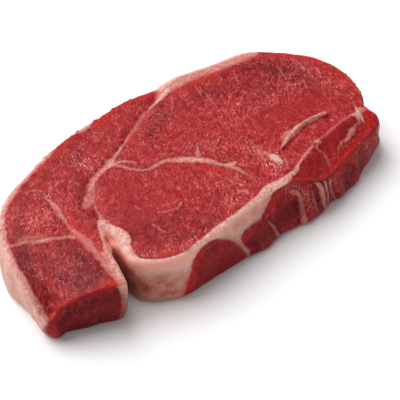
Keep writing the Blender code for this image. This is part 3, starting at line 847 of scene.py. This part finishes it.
def rows_along(curve, offsets):
    """Rows of plan points beside a curve, one at each offset; every second row is half a step further."""
    line = even_steps(curve, offsets[1] - offsets[0])[0]
    run = np.gradient(line, axis=0)
    across = np.column_stack([-run[:, 1], run[:, 0]]) / np.hypot(*run.T)[:, None]
    strung = [line + across * offset for offset in offsets]
    strung[1::2] = [0.5 * (row[:-1] + row[1:]) for row in strung[1::2]]
    return np.vstack(strung)


def clear_of(points, others, distance):
    """The points that are further than this from every one of the others."""
    lookup = kdtree.KDTree(len(others))
    for index, (x, y) in enumerate(others):
        lookup.insert((x, y, 0.0), index)
    lookup.balance()
    return points[[lookup.find((x, y, 0.0))[2] > distance for x, y in points]]


def spread_points(loop, spacing, curves=()):
    """Plan points over a loop's box, with closer rows along each curve, clear of the loop itself."""
    low, high = loop.min(axis=0), loop.max(axis=0)
    across = np.arange(low[0], high[0], spacing)
    lines = np.arange(low[1], high[1], spacing * TRIANGLE_HEIGHT)
    points = np.vstack([np.column_stack([across, np.full_like(across, y)]) for y in lines])
    points[:, 0] += 0.5 * spacing * (np.repeat(np.arange(len(lines)), len(across)) % 2)
    strung = np.empty((0, 2))
    for curve in curves:
        beside = rows_along(curve, STRAND_OFFSETS)
        strung = np.vstack([strung, clear_of(beside, strung, ROW_CLEARANCE) if len(strung) else beside])
    if len(strung):
        points = np.vstack([clear_of(points, strung, STRAND_CLEARANCE * spacing), strung])
    return clear_of(points, loop, EDGE_CLEARANCE * spacing)


strands = [stations for *_, stations in FACE_FAT.values() if len(stations[0]) == 3]
strand_curves = [smooth_curve(np.array(stations)[:, :2], DRAWN_STEPS) for stations in strands]
top_plan = spread_points(rows[0][:, :2], TOP_SPACING, strand_curves)
bottom_plan = spread_points(rows[-1][:, :2], BOTTOM_SPACING)
print("points over the faces:", len(top_plan), "above,", len(bottom_plan), "below")

# %% Fill both cut faces
INSIDE_ONLY, MERGE_DISTANCE = 1, 1e-6


def fill(loop, filling):
    """Triangles that fill a loop through the filling's points, which are counted on from the loop's own."""
    flat = [Vector(point) for point in np.vstack([loop, filling])]
    border = list(range(len(loop)))
    _, _, faces, sources, _, _ = delaunay_2d_cdt(flat, [], [border], INSIDE_ONLY, MERGE_DISTANCE)
    return [[sources[corner][0] for corner in face] for face in faces]


top_faces = fill(rows[0][:, :2], top_plan)
bottom_faces = fill(rows[-1][:, :2], bottom_plan)
print("triangles on the faces:", len(top_faces), "above,", len(bottom_faces), "below")

# %% [markdown]
# ## Writing the pattern down
#
# Now each point of the mesh learns what it is made of. Points on the faces read the face's drawing, and
# points on the wall read the wall's map. At the rim the two meet, so a point on the rounded edge takes
# some of each. The underside was cut by the same blade through the same muscles, so it repeats the upper
# drawing.
#
# Nothing in meat has a ruled edge, so the places wobble a little before they are measured. The wobble is
# noise with a fixed seed, so the slice comes out the same each time.

# %% Wobble
WOBBLES = [(0.8, 6.0, 11.0), (0.6, 2.2, 47.0)]
WOBBLE_SEED = 1
noise.seed_set(WOBBLE_SEED)


def wobbled(places):
    """The places moved a little to and fro, so that what is measured from them has an uneven edge."""
    moved = places.copy()
    for amount, size, layer in WOBBLES:
        moves = [noise.noise_vector(Vector((x / size, y / size, layer))) for x, y in places]
        moved += amount * np.array(moves)[:, :2]
    return moved


print("wobble at the middle, in mm:", wobbled(np.zeros((1, 2))).round(2))

# %% The columns of the pattern
COLUMNS = ["fat", "pale", "soft", "groove", "bright", "dull", "tanned", "marbled", "calm"]
FACE_AREAS = FACE_BRIGHT, FACE_DULL, FACE_TANNED, FACE_MARBLED, FACE_CALM
WALL_AREAS = WALL_BRIGHT, WALL_DULL_AND_SHADE, WALL_TANNED, WALL_MARBLED, WALL_CALM
GROOVE_GAP, GROOVE_WIDTH = 0.9, 0.75
# The near front's rim paleness is painted light: it lifts the fat on a wall that faces away from the lamp.
FRONT_PALE_PAINTED_LIGHT, RIM_PALE, PAINTED_LIGHT_FRONT_END = 1.9, 0.75, (205.0, 225.0)
LOW_PALE, PALE_FADE, COVER_SOFTNESS = 0.65, (1.0, 12.0), 0.8


def fat_columns(places, drawing):
    """Depth in the deepest of a drawing's shapes, its paleness and softness, and the groove beside any."""
    shapes = [stations for *_, stations in drawing.values()]
    depths = np.array([(band if len(stations[0]) == 3 else patch)(places, stations) for stations in shapes])
    pale, soft, groove = np.array([numbers for *numbers, _ in drawing.values()]).T
    shape = (depths / soft[:, None]).argmax(axis=0)
    depth = np.take_along_axis(depths, shape[None], axis=0)[0]
    grooves = groove[:, None] * bell((depths + GROOVE_GAP) / GROOVE_WIDTH)
    return np.column_stack([depth, pale[shape], soft[shape], grooves.max(axis=0)])


def face_pattern(plan):
    """The pattern's columns for places on a cut face."""
    plan = wobbled(plan)
    return np.column_stack([fat_columns(plan, FACE_FAT), *(soft_area(plan, area) for area in FACE_AREAS)])


def wall_pattern(places):
    """The pattern's columns for places on the wall's map."""
    places = wobbled(places)
    fat = fat_columns(places, WALL_SINEWS)
    cover = -deepest([patch(places, window) for window in WALL_LEAN.values()])
    rim_pale = FRONT_PALE_PAINTED_LIGHT + (RIM_PALE - FRONT_PALE_PAINTED_LIGHT) * ease(places[:, 0], *PAINTED_LIGHT_FRONT_END)
    pale = rim_pale + (LOW_PALE - rim_pale) * ease(places[:, 1], *PALE_FADE)
    fat[:, 1] = np.where(cover > fat[:, 0], pale, fat[:, 1])
    fat[:, 2] = np.where(cover > fat[:, 0], COVER_SOFTNESS, fat[:, 2])
    fat[:, 0] = np.maximum(fat[:, 0], cover)
    return np.column_stack([fat, *(soft_area(places, area) for area in WALL_AREAS)])


print("pattern columns:", ", ".join(COLUMNS))

# %% Measure every point
EDGE_OVERLAP = (0.2, 1.8)

side_points = np.vstack(rows)
side_map = np.vstack(wall_maps)
top_points = np.column_stack([top_plan, top_height(top_plan)])
bottom_points = np.column_stack([bottom_plan, np.zeros(len(bottom_plan))])
on_wall = ease(side_map[:, 1], *EDGE_OVERLAP)[:, None]
side_pattern = (1 - on_wall) * face_pattern(side_points[:, :2]) + on_wall * wall_pattern(side_map)
pattern = np.vstack([side_pattern, face_pattern(top_plan), face_pattern(bottom_plan)])
points = np.vstack([side_points, top_points, bottom_points])
measures = dict(zip(COLUMNS, pattern.T))
measures["wall"] = np.concatenate([on_wall[:, 0], np.zeros(len(top_plan) + len(bottom_plan))])
print("share of points in fat:", round(float((measures["fat"] > 0).mean()), 2))

# %% [markdown]
# ## The lay of the fibres
#
# Muscle is a bundle of fibres, and the fine grain of the lean follows them. Each point gets a place
# measured across and along the fibres, which the material's streaky noise reads. On the wall they run
# down the cut. On the faces they run at one angle to the slice, which wanders a little from place to place.

# %% Fibre coordinates
FIBRE_LAY = math.radians(50)
LAY_WANDER, LAY_WANDER_SIZE, LAY_LAYER = 6.0, 22.0, 90.0
WALL_LAY_LAYER = 40.0


def fibre_places(plan):
    """Each plan point measured across and along the fibres, in millimetres."""
    bend = [LAY_WANDER * noise.noise(Vector((x, y, LAY_LAYER)) / LAY_WANDER_SIZE) for x, y in plan]
    along = plan[:, 0] * math.cos(FIBRE_LAY) + plan[:, 1] * math.sin(FIBRE_LAY)
    across = plan[:, 1] * math.cos(FIBRE_LAY) - plan[:, 0] * math.sin(FIBRE_LAY) + bend
    return np.column_stack([across, along, np.zeros(len(plan))])


side_lay = np.column_stack([side_map, np.full(len(side_map), WALL_LAY_LAYER)])
side_lay = (1 - on_wall) * fibre_places(side_points[:, :2]) + on_wall * side_lay
lay = np.vstack([side_lay, fibre_places(top_plan), fibre_places(bottom_plan)])
print("fibre places:", lay.shape)

# %% [markdown]
# ## Fine relief
#
# A blade leaves lean faintly ribbed and fat smooth, and fat stands a hair proud of the lean beside it.
# Where the near wall was trimmed its lean stands in strong upright ribs, and the far rim is torn where
# lean reaches it. The relief is real geometry, moved along each point's own normal, so that it holds in
# any light.

# %% Ribs of the wall and the torn rim
WALL_RIBS, WALL_RIB_SIZE, SMOOTH_SHARE = 1.2, (8.5, 20.0, 1.0), 0.2
RIB_BEND, RIB_BEND_SIZE = 4.0, (14.0, 12.0, 1.0)
RIBBED_WALL = (200.0, 218.0), (410.0, 450.0)
TORN_SIZE, TORN_TOP = 3.2, (0.2, 1.2)
TORN_RIM = (478.0, 500.0), (570.0, 590.0)


def noise_at(places, size):
    """Noise from about -0.7 to 0.7 at each place, in lumps of this size."""
    return np.array([noise.noise(Vector(place)) for place in places / size])


def ribs_of_wall():
    """The wall's upright ribs, from about -0.7 to 0.7: strong on the trimmed lean, faint elsewhere."""
    bent = side_lay.copy()
    bent[:, 0] += RIB_BEND * noise_at(side_lay, RIB_BEND_SIZE)
    ribbed = between(side_map[:, 0], *RIBBED_WALL)
    return on_wall[:, 0] * (SMOOTH_SHARE + (1.0 - SMOOTH_SHARE) * ribbed) * noise_at(bent, WALL_RIB_SIZE)


def torn_rim():
    """Roughness of the far rim where lean reaches it, which a blade leaves more torn than the fat."""
    torn = between(side_map[:, 0], *TORN_RIM)
    return torn * ease(side_map[:, 1], *TORN_TOP) * noise_at(side_points, TORN_SIZE)


measures["rib"] = np.concatenate([ribs_of_wall(), np.zeros(len(top_plan) + len(bottom_plan))])
print("ribs stand out by up to", round(float(WALL_RIBS * measures["rib"].max()), 2), "mm")

# %% The relief of every point
LUMPS, LUMP_SIZE = 0.28, 6.5
FAT_LUMPS, FAT_LUMP_SIZE = 0.55, 9.0
FACE_RIBS, FACE_RIB_SIZE = 0.12, (1.5, 5.0, 1.0)
FAT_EDGE, FAT_PROUD, GROOVE_DEPTH, TORN = (-0.6, 0.6), 0.2, 0.5, 1.3
RIBS_LOST_IN_FAT, LUMPS_OF_PALE_FAT = 0.6, 0.2


def relief():
    """How far each point is moved outwards, in millimetres."""
    in_fat = ease(measures["fat"], *FAT_EDGE)
    face_ribs = (1.0 - measures["wall"]) * FACE_RIBS * noise_at(lay, FACE_RIB_SIZE)
    ribs = (WALL_RIBS * measures["rib"] + face_ribs) * (1.0 - RIBS_LOST_IN_FAT * in_fat)
    lumpy = FAT_LUMPS * (LUMPS_OF_PALE_FAT + measures["tanned"]) * measures["wall"] * in_fat
    lumps = LUMPS * noise_at(points, LUMP_SIZE) + lumpy * noise_at(points, FAT_LUMP_SIZE)
    lumps[:len(side_points)] += TORN * torn_rim()
    return lumps + ribs + FAT_PROUD * (in_fat - 0.5) - GROOVE_DEPTH * measures["groove"]


heights = relief()
print("relief from", round(float(heights.min()), 2), "to", round(float(heights.max()), 2), "mm")

# %% [markdown]
# ## Joining the points
#
# The rows of the wall close up with the faces at the rim and at the foot, where they share their points,
# so the mesh is one closed skin. The normals of the smooth form say which way is out, and the relief goes
# along them. The last step keeps every point inside the box of the plain solid.

# %% Number the faces
def renumbered(face, first_edge, first_inner):
    """A filled face's corners as points of the whole mesh; its loop's own come before its filling's."""
    return [corner + first_edge if corner < columns else corner - columns + first_inner for corner in face]


all_faces = []
for row in range(len(rows) - 1):
    above, below = row * columns, (row + 1) * columns
    for column in range(columns):
        after = (column + 1) % columns
        all_faces.append([above + column, below + column, below + after, above + after])
first_top = len(rows) * columns
first_bottom = first_top + len(top_points)
all_faces += [renumbered(face, 0, first_top) for face in top_faces]
all_faces += [renumbered(face, first_top - columns, first_bottom)[::-1] for face in bottom_faces]
print("triangles:", sum(len(face) - 2 for face in all_faces))

# %% Build the mesh
middle = 0.5 * (points.min(axis=0) + points.max(axis=0))
middle[2] = 0.0
mesh = bpy.data.meshes.new("steak_meat")
mesh.from_pydata(((points - middle) * MM).tolist(), [], all_faces)
normals = np.empty(len(points) * 3, np.float32)
mesh.vertex_normals.foreach_get("vector", normals)
moved = points - middle + normals.reshape(-1, 3) * heights[:, None]
box_low, box_high = (np.array(corner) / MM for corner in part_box("steak"))
moved = np.clip(moved, box_low, box_high)
mesh.vertices.foreach_set("co", (moved * MM).astype(np.float32).ravel())
mesh.shade_smooth()
mesh.update()
print("plan middle in mm:", middle[:2].round(2))

# %% [markdown]
# ## Handing the pattern to the material
#
# A mesh attribute is a number kept on every vertex. The material reads it anywhere on the surface, eased
# between the vertices, so a distance of zero falls on a clean curve and not on the edges of triangles.

# %% Attributes
for name, values in measures.items():
    mesh.attributes.new(name, "FLOAT", "POINT").data.foreach_set("value", values.astype(np.float32))
lay_attribute = mesh.attributes.new("lay", "FLOAT_VECTOR", "POINT")
lay_attribute.data.foreach_set("vector", lay.astype(np.float32).ravel())
steak = bpy.data.objects.new("steak_meat", mesh)
bpy.context.scene.collection.objects.link(steak)
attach(steak, "root")
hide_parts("steak")
print("attributes:", ", ".join(measures), "and", lay_attribute.name)

# %% [markdown]
# ## Small helpers for the material
#
# A material is a graph, and a graph is easier to read as sums. These helpers make one node each and give
# back its output, so that the recipe below reads like arithmetic.

# %% Adding nodes
material = bpy.data.materials.new("raw_beef")
material.use_nodes = True
tree = material.node_tree


def add_node(kind, inputs, **settings):
    """A new node; each input is either a socket to join to or a value to set."""
    made = tree.nodes.new(kind)
    for name, value in settings.items():
        setattr(made, name, value)
    for key, value in inputs.items():
        if isinstance(value, bpy.types.NodeSocket):
            tree.links.new(value, made.inputs[key])
        else:
            made.inputs[key].default_value = value
    return made


def sum_of(operation, first, second=0.0):
    """One step of arithmetic."""
    return add_node("ShaderNodeMath", {0: first, 1: second}, operation=operation).outputs[0]


def plus(first, second):
    return sum_of("ADD", first, second)


def minus(first, second):
    return sum_of("SUBTRACT", first, second)


def times(first, second):
    return sum_of("MULTIPLY", first, second)


print("material:", material.name)

# %% Ramps, mixes and noise
def ramp(value, start, end, low=0.0, high=1.0):
    """Eases from low to high as the value goes from start to end."""
    ends = {"Value": value, "From Min": start, "From Max": end, "To Min": low, "To Max": high}
    return add_node("ShaderNodeMapRange", ends, interpolation_type="SMOOTHSTEP").outputs["Result"]


def mix(share, first, second):
    """The first colour where share is 0, the second where it is 1."""
    return add_node("ShaderNodeMix", {0: share, 6: first, 7: second}, data_type="RGBA").outputs[2]


def scaled(places, factors):
    """The places with each axis multiplied by its factor."""
    return add_node("ShaderNodeVectorMath", {0: places, 1: factors}, operation="MULTIPLY").outputs[0]


def cloud(places, sizes, detail=3.0, roughness=0.55, distortion=0.0):
    """Noise whose lumps are this many millimetres along each axis of the places."""
    inputs = {"Vector": scaled(places, [1.0 / size for size in sizes]), "Scale": 1.0}
    inputs.update({"Detail": detail, "Roughness": roughness, "Distortion": distortion})
    return add_node("ShaderNodeTexNoise", inputs).outputs["Fac"]


def attribute(name, output="Fac"):
    """The measure of this name, read from the mesh."""
    return add_node("ShaderNodeAttribute", {}, attribute_name=name).outputs[output]


print("nodes in the new material:", len(tree.nodes))

# %% [markdown]
# ## The raw beef material
#
# One material holds both lean and fat, because on the real cut they are one wet surface. The first step
# turns the distance to the fat into a share of fat. Its edge is made ragged by noise, and it fades over
# the softness that the drawing gave, so that a thin film never looks like a painted line.

# %% Where fat ends
NOISE_MIDDLE = 0.5
RAGGED_SIZE, RAGGED_DEPTH = (1.3, 1.3, 1.3), 1.8

places = scaled(add_node("ShaderNodeTexCoord", {}).outputs["Object"], [1.0 / MM] * 3)
lay_places = attribute("lay", "Vector")
is_wall, softness, dull, groove = (attribute(name) for name in ("wall", "soft", "dull", "groove"))
ragged = minus(cloud(places, RAGGED_SIZE, 3.0, 0.6), NOISE_MIDDLE)
edge = plus(attribute("fat"), times(ragged, times(softness, RAGGED_DEPTH)))
edge_share = sum_of("DIVIDE", edge, softness)
is_fat = ramp(edge_share, -1.0, 1.0)
print("nodes so far:", len(tree.nodes))

# %% [markdown]
# ## The lean
#
# Raw lean is a field of tiny fibre bundles seen end on or along their length: dark gaps, red bundles, and
# pale threads of fat between them. Two streaky noises, a fine grain and a coarser mottle, are stretched
# along the fibres, and the mean of the two goes from dark to pink. Where the meat is dull all of its reds
# are swapped for duller ones. A painted texture would do as well from one side, but noise has no end and
# no seam.

# %% Lean colours
DARK_RED, DULL_DARK = (0.170, 0.005, 0.007, 1.0), (0.070, 0.001, 0.003, 1.0)
PLAIN_RED, DULL_PLAIN = (0.325, 0.014, 0.016, 1.0), (0.140, 0.005, 0.009, 1.0)
PINK_RED, DULL_PINK = (0.470, 0.040, 0.039, 1.0), (0.310, 0.028, 0.032, 1.0)
THREAD_PINK, FLECK_PINK = (0.630, 0.138, 0.124, 1.0), (0.760, 0.270, 0.232, 1.0)
BRIGHT_RED, BRIGHT_ORANGE = (0.430, 0.008, 0.007, 1.0), (0.590, 0.058, 0.038, 1.0)
GRAIN_SIZE, MOTTLE_SIZE, BROAD_SIZE = (1.0, 2.6, 1.0), (3.4, 6.0, 3.4), (14.0, 14.0, 14.0)
DARK_TO_PLAIN, PLAIN_TO_PINK = (0.36, 0.50), (0.50, 0.63)
BROAD_DULLNESS = (0.45, 0.65, -0.1, 0.15)

grain = cloud(lay_places, GRAIN_SIZE, 3.0, 0.6, 0.8)
mottle = cloud(lay_places, MOTTLE_SIZE, 3.0, 0.6, 1.0)
broad = cloud(places, BROAD_SIZE, 2.0)
tone = times(plus(grain, mottle), 0.5)
dullness = plus(dull, ramp(broad, *BROAD_DULLNESS))
dark = mix(dullness, DARK_RED, DULL_DARK)
plain = mix(dullness, PLAIN_RED, DULL_PLAIN)
pink = mix(dullness, PINK_RED, DULL_PINK)
lean = mix(ramp(tone, *DARK_TO_PLAIN), dark, plain)
lean = mix(ramp(tone, *PLAIN_TO_PINK), lean, pink)
print("nodes so far:", len(tree.nodes))

# %% [markdown]
# The threads of fat are a third noise: wherever it passes its middle value it leaves a thin winding line.
# A broader noise says where threads crowd and where there are few, with a hand from the marbled and calm
# areas. A last noise leaves short flecks, and more of them where the meat is marbled. Where it is calm,
# all of this sinks back into one plain red.

# %% Threads and flecks
THREAD_SIZE, THREAD_EDGE = (1.9, 5.0, 1.0), (0.012, 0.05, 1.0, 0.0)
CROWD_SIZE, CROWD_SHARE, AREA_CROWDING = (3.2, 3.2, 3.2), (0.40, 0.70, 0.0, 0.8), 0.2
FLECK_SIZE, FLECK_START, FLECK_SHARE = (1.1, 2.8, 1.0), 0.69, (0.0, 0.08, 0.0, 0.9)
MARBLED_FLECKS, DULL_THREADS, CALM_SHARE = 0.17, 0.7, 0.6

marbled, calm = attribute("marbled"), attribute("calm")
thread_noise = cloud(lay_places, THREAD_SIZE, 2.0, 0.45, 0.4)
off_middle = sum_of("ABSOLUTE", minus(thread_noise, NOISE_MIDDLE))
crowding = plus(cloud(places, CROWD_SIZE, 2.0), times(minus(marbled, calm), AREA_CROWDING))
threads = times(ramp(off_middle, *THREAD_EDGE), ramp(crowding, *CROWD_SHARE))
lean = mix(threads, lean, mix(times(dullness, DULL_THREADS), THREAD_PINK, DULL_PINK))
fleck_noise = cloud(lay_places, FLECK_SIZE, 2.0, 0.5, 1.2)
flecks = ramp(minus(fleck_noise, minus(FLECK_START, times(marbled, MARBLED_FLECKS))), *FLECK_SHARE)
lean = mix(flecks, lean, mix(dullness, FLECK_PINK, THREAD_PINK))
lean = mix(times(calm, CALM_SHARE), lean, plain)
print("nodes so far:", len(tree.nodes))

# %% [markdown]
# On the trimmed wall the troughs between ribs are darkened and their crests turned pink: painted shade
# and painted light, which the relief alone can't show in soft light. Grooves beside the fat are darkened
# to nearly black red, painted shade in them. Last come the fresh borders, broken up by the same mottle
# and grain, so that they sit in the meat and not on it.

# %% Ribs, grooves and fresh borders
TROUGH_PAINTED_SHADE, CREST_PAINTED_LIGHT = (-0.04, -0.40, 0.0, 0.4), (0.05, 0.45, 0.0, 0.3)
GROOVE_PAINTED_SHADE = (0.3, 0.6, 0.95, 0.5)
FRESH_SHARE, ORANGE_SHARE = (0.32, 0.56, 0.45, 1.0), (0.42, 0.66, 0.0, 0.65)

rib, bright = attribute("rib"), attribute("bright")
# Painted shade in the troughs between the wall's ribs, and painted light on their crests.
lean = mix(ramp(rib, *TROUGH_PAINTED_SHADE), lean, DULL_DARK)
lean = mix(ramp(rib, *CREST_PAINTED_LIGHT), lean, PINK_RED)
# Painted shade: the grooves beside the fat are darkened to nearly black red.
lean = mix(times(groove, ramp(grain, *GROOVE_PAINTED_SHADE)), lean, DULL_DARK)
fresh_colour = mix(ramp(grain, *ORANGE_SHARE), BRIGHT_RED, BRIGHT_ORANGE)
lean = mix(times(bright, ramp(mottle, *FRESH_SHARE)), lean, fresh_colour)
print("nodes so far:", len(tree.nodes))

# %% [markdown]
# ## The fat
#
# Fat is cream where it is thick and salmon where it thins out towards the lean, because the red shines
# through it. Where it is thickest it is nearly white. Along the near front's edge it goes on to a bright
# peach: painted light, which lifts fat on a wall that faces away from the lamp. The outside of the cut
# has dried a little, which gives tan blotches on the wall. Where the wall is dull its fat goes brown,
# partly its own colour and partly painted shade in the slit and on the near walls. Beside fresh lean
# even the fat is orange. One number, the paleness, runs through five colours, and noise keeps it uneven.

# %% Fat colours
SALMON_FAT, PINK_FAT = (0.480, 0.120, 0.098, 1.0), (0.570, 0.230, 0.200, 1.0)
CREAM_FAT, WHITE_FAT = (0.660, 0.372, 0.315, 1.0), (0.820, 0.510, 0.430, 1.0)
# The peach is brighter than any lit fat: painted light for the shaded near front.
PAINTED_LIGHT_PEACH_FAT, FRESH_FAT = (0.940, 0.430, 0.345, 1.0), (0.640, 0.120, 0.085, 1.0)
TAN_FAT, BLUSH_FAT = (0.530, 0.200, 0.135, 1.0), (0.400, 0.075, 0.058, 1.0)
BROWN_FAT = (0.190, 0.018, 0.012, 1.0)
PALER_STEPS = [(0.0, 0.4, PINK_FAT), (0.35, 0.8, CREAM_FAT), (0.8, 1.2, WHITE_FAT), (0.9, 1.9, PAINTED_LIGHT_PEACH_FAT)]
print("fat colours, from thin to thick:", 1 + len(PALER_STEPS))

# %% How pale, fresh or tanned the fat is
BLOTCH_SIZE, BLOTCH_WEIGHT = (6.0, 6.0, 6.0), 1.4
FINE_BLOTCH_SIZE, FINE_BLOTCH_WEIGHT = (1.8, 1.8, 1.8), 2.4
EVEN_FAT, WALL_UNEVENNESS, THIN_FAT = 1.9, (0.0, 1.0, 1.0, 0.5), (0.0, 3.5, 0.5, 1.0)
TAN_SHARE, BLUSH_SHARE, FINE_BLUSH = (0.3, 0.55, 0.5, 1.0), (0.62, 0.86), 0.4
FRESH_FAT_SHARE, BROWN_SHARE = 0.8, 0.9

blotches = cloud(places, BLOTCH_SIZE, 3.0, 0.55)
fine_blotches = cloud(places, FINE_BLOTCH_SIZE, 3.0, 0.6)
unevenness = minus(plus(times(blotches, BLOTCH_WEIGHT), times(fine_blotches, FINE_BLOTCH_WEIGHT)), EVEN_FAT)
paleness = plus(attribute("pale"), times(unevenness, ramp(is_wall, *WALL_UNEVENNESS)))
paleness = times(paleness, ramp(edge_share, *THIN_FAT))
fat_colour = SALMON_FAT
for start, end, paler in PALER_STEPS:
    fat_colour = mix(ramp(paleness, start, end), fat_colour, paler)
tanned = times(attribute("tanned"), ramp(blotches, *TAN_SHARE))
blush = ramp(plus(blotches, times(fine_blotches, FINE_BLUSH)), *BLUSH_SHARE)
fat_colour = mix(tanned, fat_colour, mix(blush, TAN_FAT, BLUSH_FAT))
fat_colour = mix(times(bright, FRESH_FAT_SHARE), fat_colour, FRESH_FAT)
# Dull fat on the wall goes brown: partly its own colour, partly painted shade in the slit and on the near
# walls.
fat_colour = mix(times(times(is_wall, dull), BROWN_SHARE), fat_colour, BROWN_FAT)
meat_colour = mix(is_fat, lean, fat_colour)
print("nodes so far:", len(tree.nodes))

# %% [markdown]
# The surface is moist. A film of water makes broad soft highlights, broken up by the grain, so the
# roughness and the bump both come from noise. Light also travels a few millimetres into meat and comes
# out redder, which is what keeps the shaded wall from looking painted. That is the subsurface part, and
# its reach is the same everywhere, so it is set on the shader itself.

# %% Gloss, bump and translucence
FILM_SIZE, FILM_ROUGHNESS, DRIER_WALL = (2.2, 2.2, 2.2), (0.35, 0.65, 0.30, 0.48), 0.2
GRAIN_BUMP, LUMP_BUMP, THREAD_BUMP = (0.0, 1.0, 0.6, 0.1), 0.3, 0.12
BUMP_STRENGTH, BUMP_DEPTH = 0.7, 0.6 * MM
GLEAM, TRANSLUCENCE, REACH_BY_COLOUR, REACH = 0.1, 0.15, (1.0, 0.35, 0.25), 2.0 * MM

shader = tree.nodes["Principled BSDF"]
roughness = ramp(cloud(places, FILM_SIZE, 3.0), *FILM_ROUGHNESS)
roughness = plus(roughness, times(is_wall, DRIER_WALL))
fibre_bump = times(grain, ramp(is_fat, *GRAIN_BUMP))
height = plus(plus(fibre_bump, times(fine_blotches, LUMP_BUMP)), times(threads, THREAD_BUMP))
bump = add_node("ShaderNodeBump", {"Height": height, "Strength": BUMP_STRENGTH, "Distance": BUMP_DEPTH})
tree.links.new(meat_colour, shader.inputs["Base Color"])
tree.links.new(roughness, shader.inputs["Roughness"])
tree.links.new(bump.outputs["Normal"], shader.inputs["Normal"])
shader.inputs["Specular IOR Level"].default_value = GLEAM
shader.inputs["Subsurface Weight"].default_value = TRANSLUCENCE
shader.inputs["Subsurface Radius"].default_value = REACH_BY_COLOUR
shader.inputs["Subsurface Scale"].default_value = REACH
mesh.materials.append(material)
print("nodes in the material:", len(tree.nodes))

# %% [markdown]
# ## Camera, floor and light
#
# The camera looks down at 45 degrees along the slice's near left side, through a long lens, which keeps
# the far end from shrinking. The floor is white. The light is one large soft source, high up on the left
# and a little behind, with an even white sky, so the near walls are in shade and the shadow falls softly
# towards the viewer's right.

# %% Camera
CAMERA_TARGET = np.array([-8.9, -16.9, 15.25]) - middle
CAMERA_AZIMUTH, CAMERA_ELEVATION, CAMERA_DISTANCE = math.radians(-46.4), math.radians(45.0), 533.4
LENS, SENSOR = 85.0, 36.0
NEAREST, FARTHEST = 0.02, 20.0

back = Vector((
    math.sin(CAMERA_AZIMUTH) * math.cos(CAMERA_ELEVATION),
    -math.cos(CAMERA_AZIMUTH) * math.cos(CAMERA_ELEVATION),
    math.sin(CAMERA_ELEVATION),
))
camera = bpy.data.objects.new("camera", bpy.data.cameras.new("camera"))
camera.data.lens, camera.data.sensor_width = LENS, SENSOR
camera.data.clip_start, camera.data.clip_end = NEAREST, FARTHEST
camera.location = (Vector(CAMERA_TARGET) + back * CAMERA_DISTANCE) * MM
camera.rotation_euler = (-back).to_track_quat("-Z", "Y").to_euler()
bpy.context.scene.collection.objects.link(camera)
bpy.context.scene.camera = camera
print("camera at", [round(value, 3) for value in camera.location])

# %% Floor
FLOOR_SIZE, FLOOR_DROP = 6.0, 0.2 * MM
FLOOR_WHITE, FLOOR_ROUGHNESS, FLOOR_GLEAM = (0.92, 0.92, 0.92, 1.0), 0.9, 0.1

bpy.ops.mesh.primitive_plane_add(size=FLOOR_SIZE, location=(0.0, 0.0, -FLOOR_DROP))
floor = bpy.context.object
floor.name = "floor"
floor_material = bpy.data.materials.new("white_floor")
floor_material.use_nodes = True
floor_shader = floor_material.node_tree.nodes["Principled BSDF"]
floor_shader.inputs["Base Color"].default_value = FLOOR_WHITE
floor_shader.inputs["Roughness"].default_value = FLOOR_ROUGHNESS
floor_shader.inputs["Specular IOR Level"].default_value = FLOOR_GLEAM
floor.data.materials.append(floor_material)
print("floor in metres:", FLOOR_SIZE)

# %% Lamp and sky
TO_LEFT, TO_BACK = Vector((-0.69, 0.724, 0.0)), Vector((0.724, 0.69, 0.0))
KEY_LEFT, KEY_BACK, UP = 0.63, 0.43, Vector((0.0, 0.0, 1.0))
KEY_FROM = TO_LEFT * KEY_LEFT + TO_BACK * KEY_BACK + UP
KEY_STRENGTH, KEY_WIDTH = 3.6, math.radians(60.0)
SKY_WHITE, SKY_STRENGTH = (1.0, 1.0, 1.0, 1.0), 0.36

key = bpy.data.objects.new("key", bpy.data.lights.new("key", "SUN"))
key.data.energy, key.data.angle = KEY_STRENGTH, KEY_WIDTH
key.rotation_euler = KEY_FROM.to_track_quat("Z", "Y").to_euler()
bpy.context.scene.collection.objects.link(key)

world = bpy.data.worlds.new("sky")
world.use_nodes = True
sky = world.node_tree.nodes["Background"]
sky.inputs["Color"].default_value = SKY_WHITE
sky.inputs["Strength"].default_value = SKY_STRENGTH
bpy.context.scene.world = world
bpy.context.scene.view_settings.view_transform = "Standard"
print("key light strength:", KEY_STRENGTH, "sky:", SKY_STRENGTH)
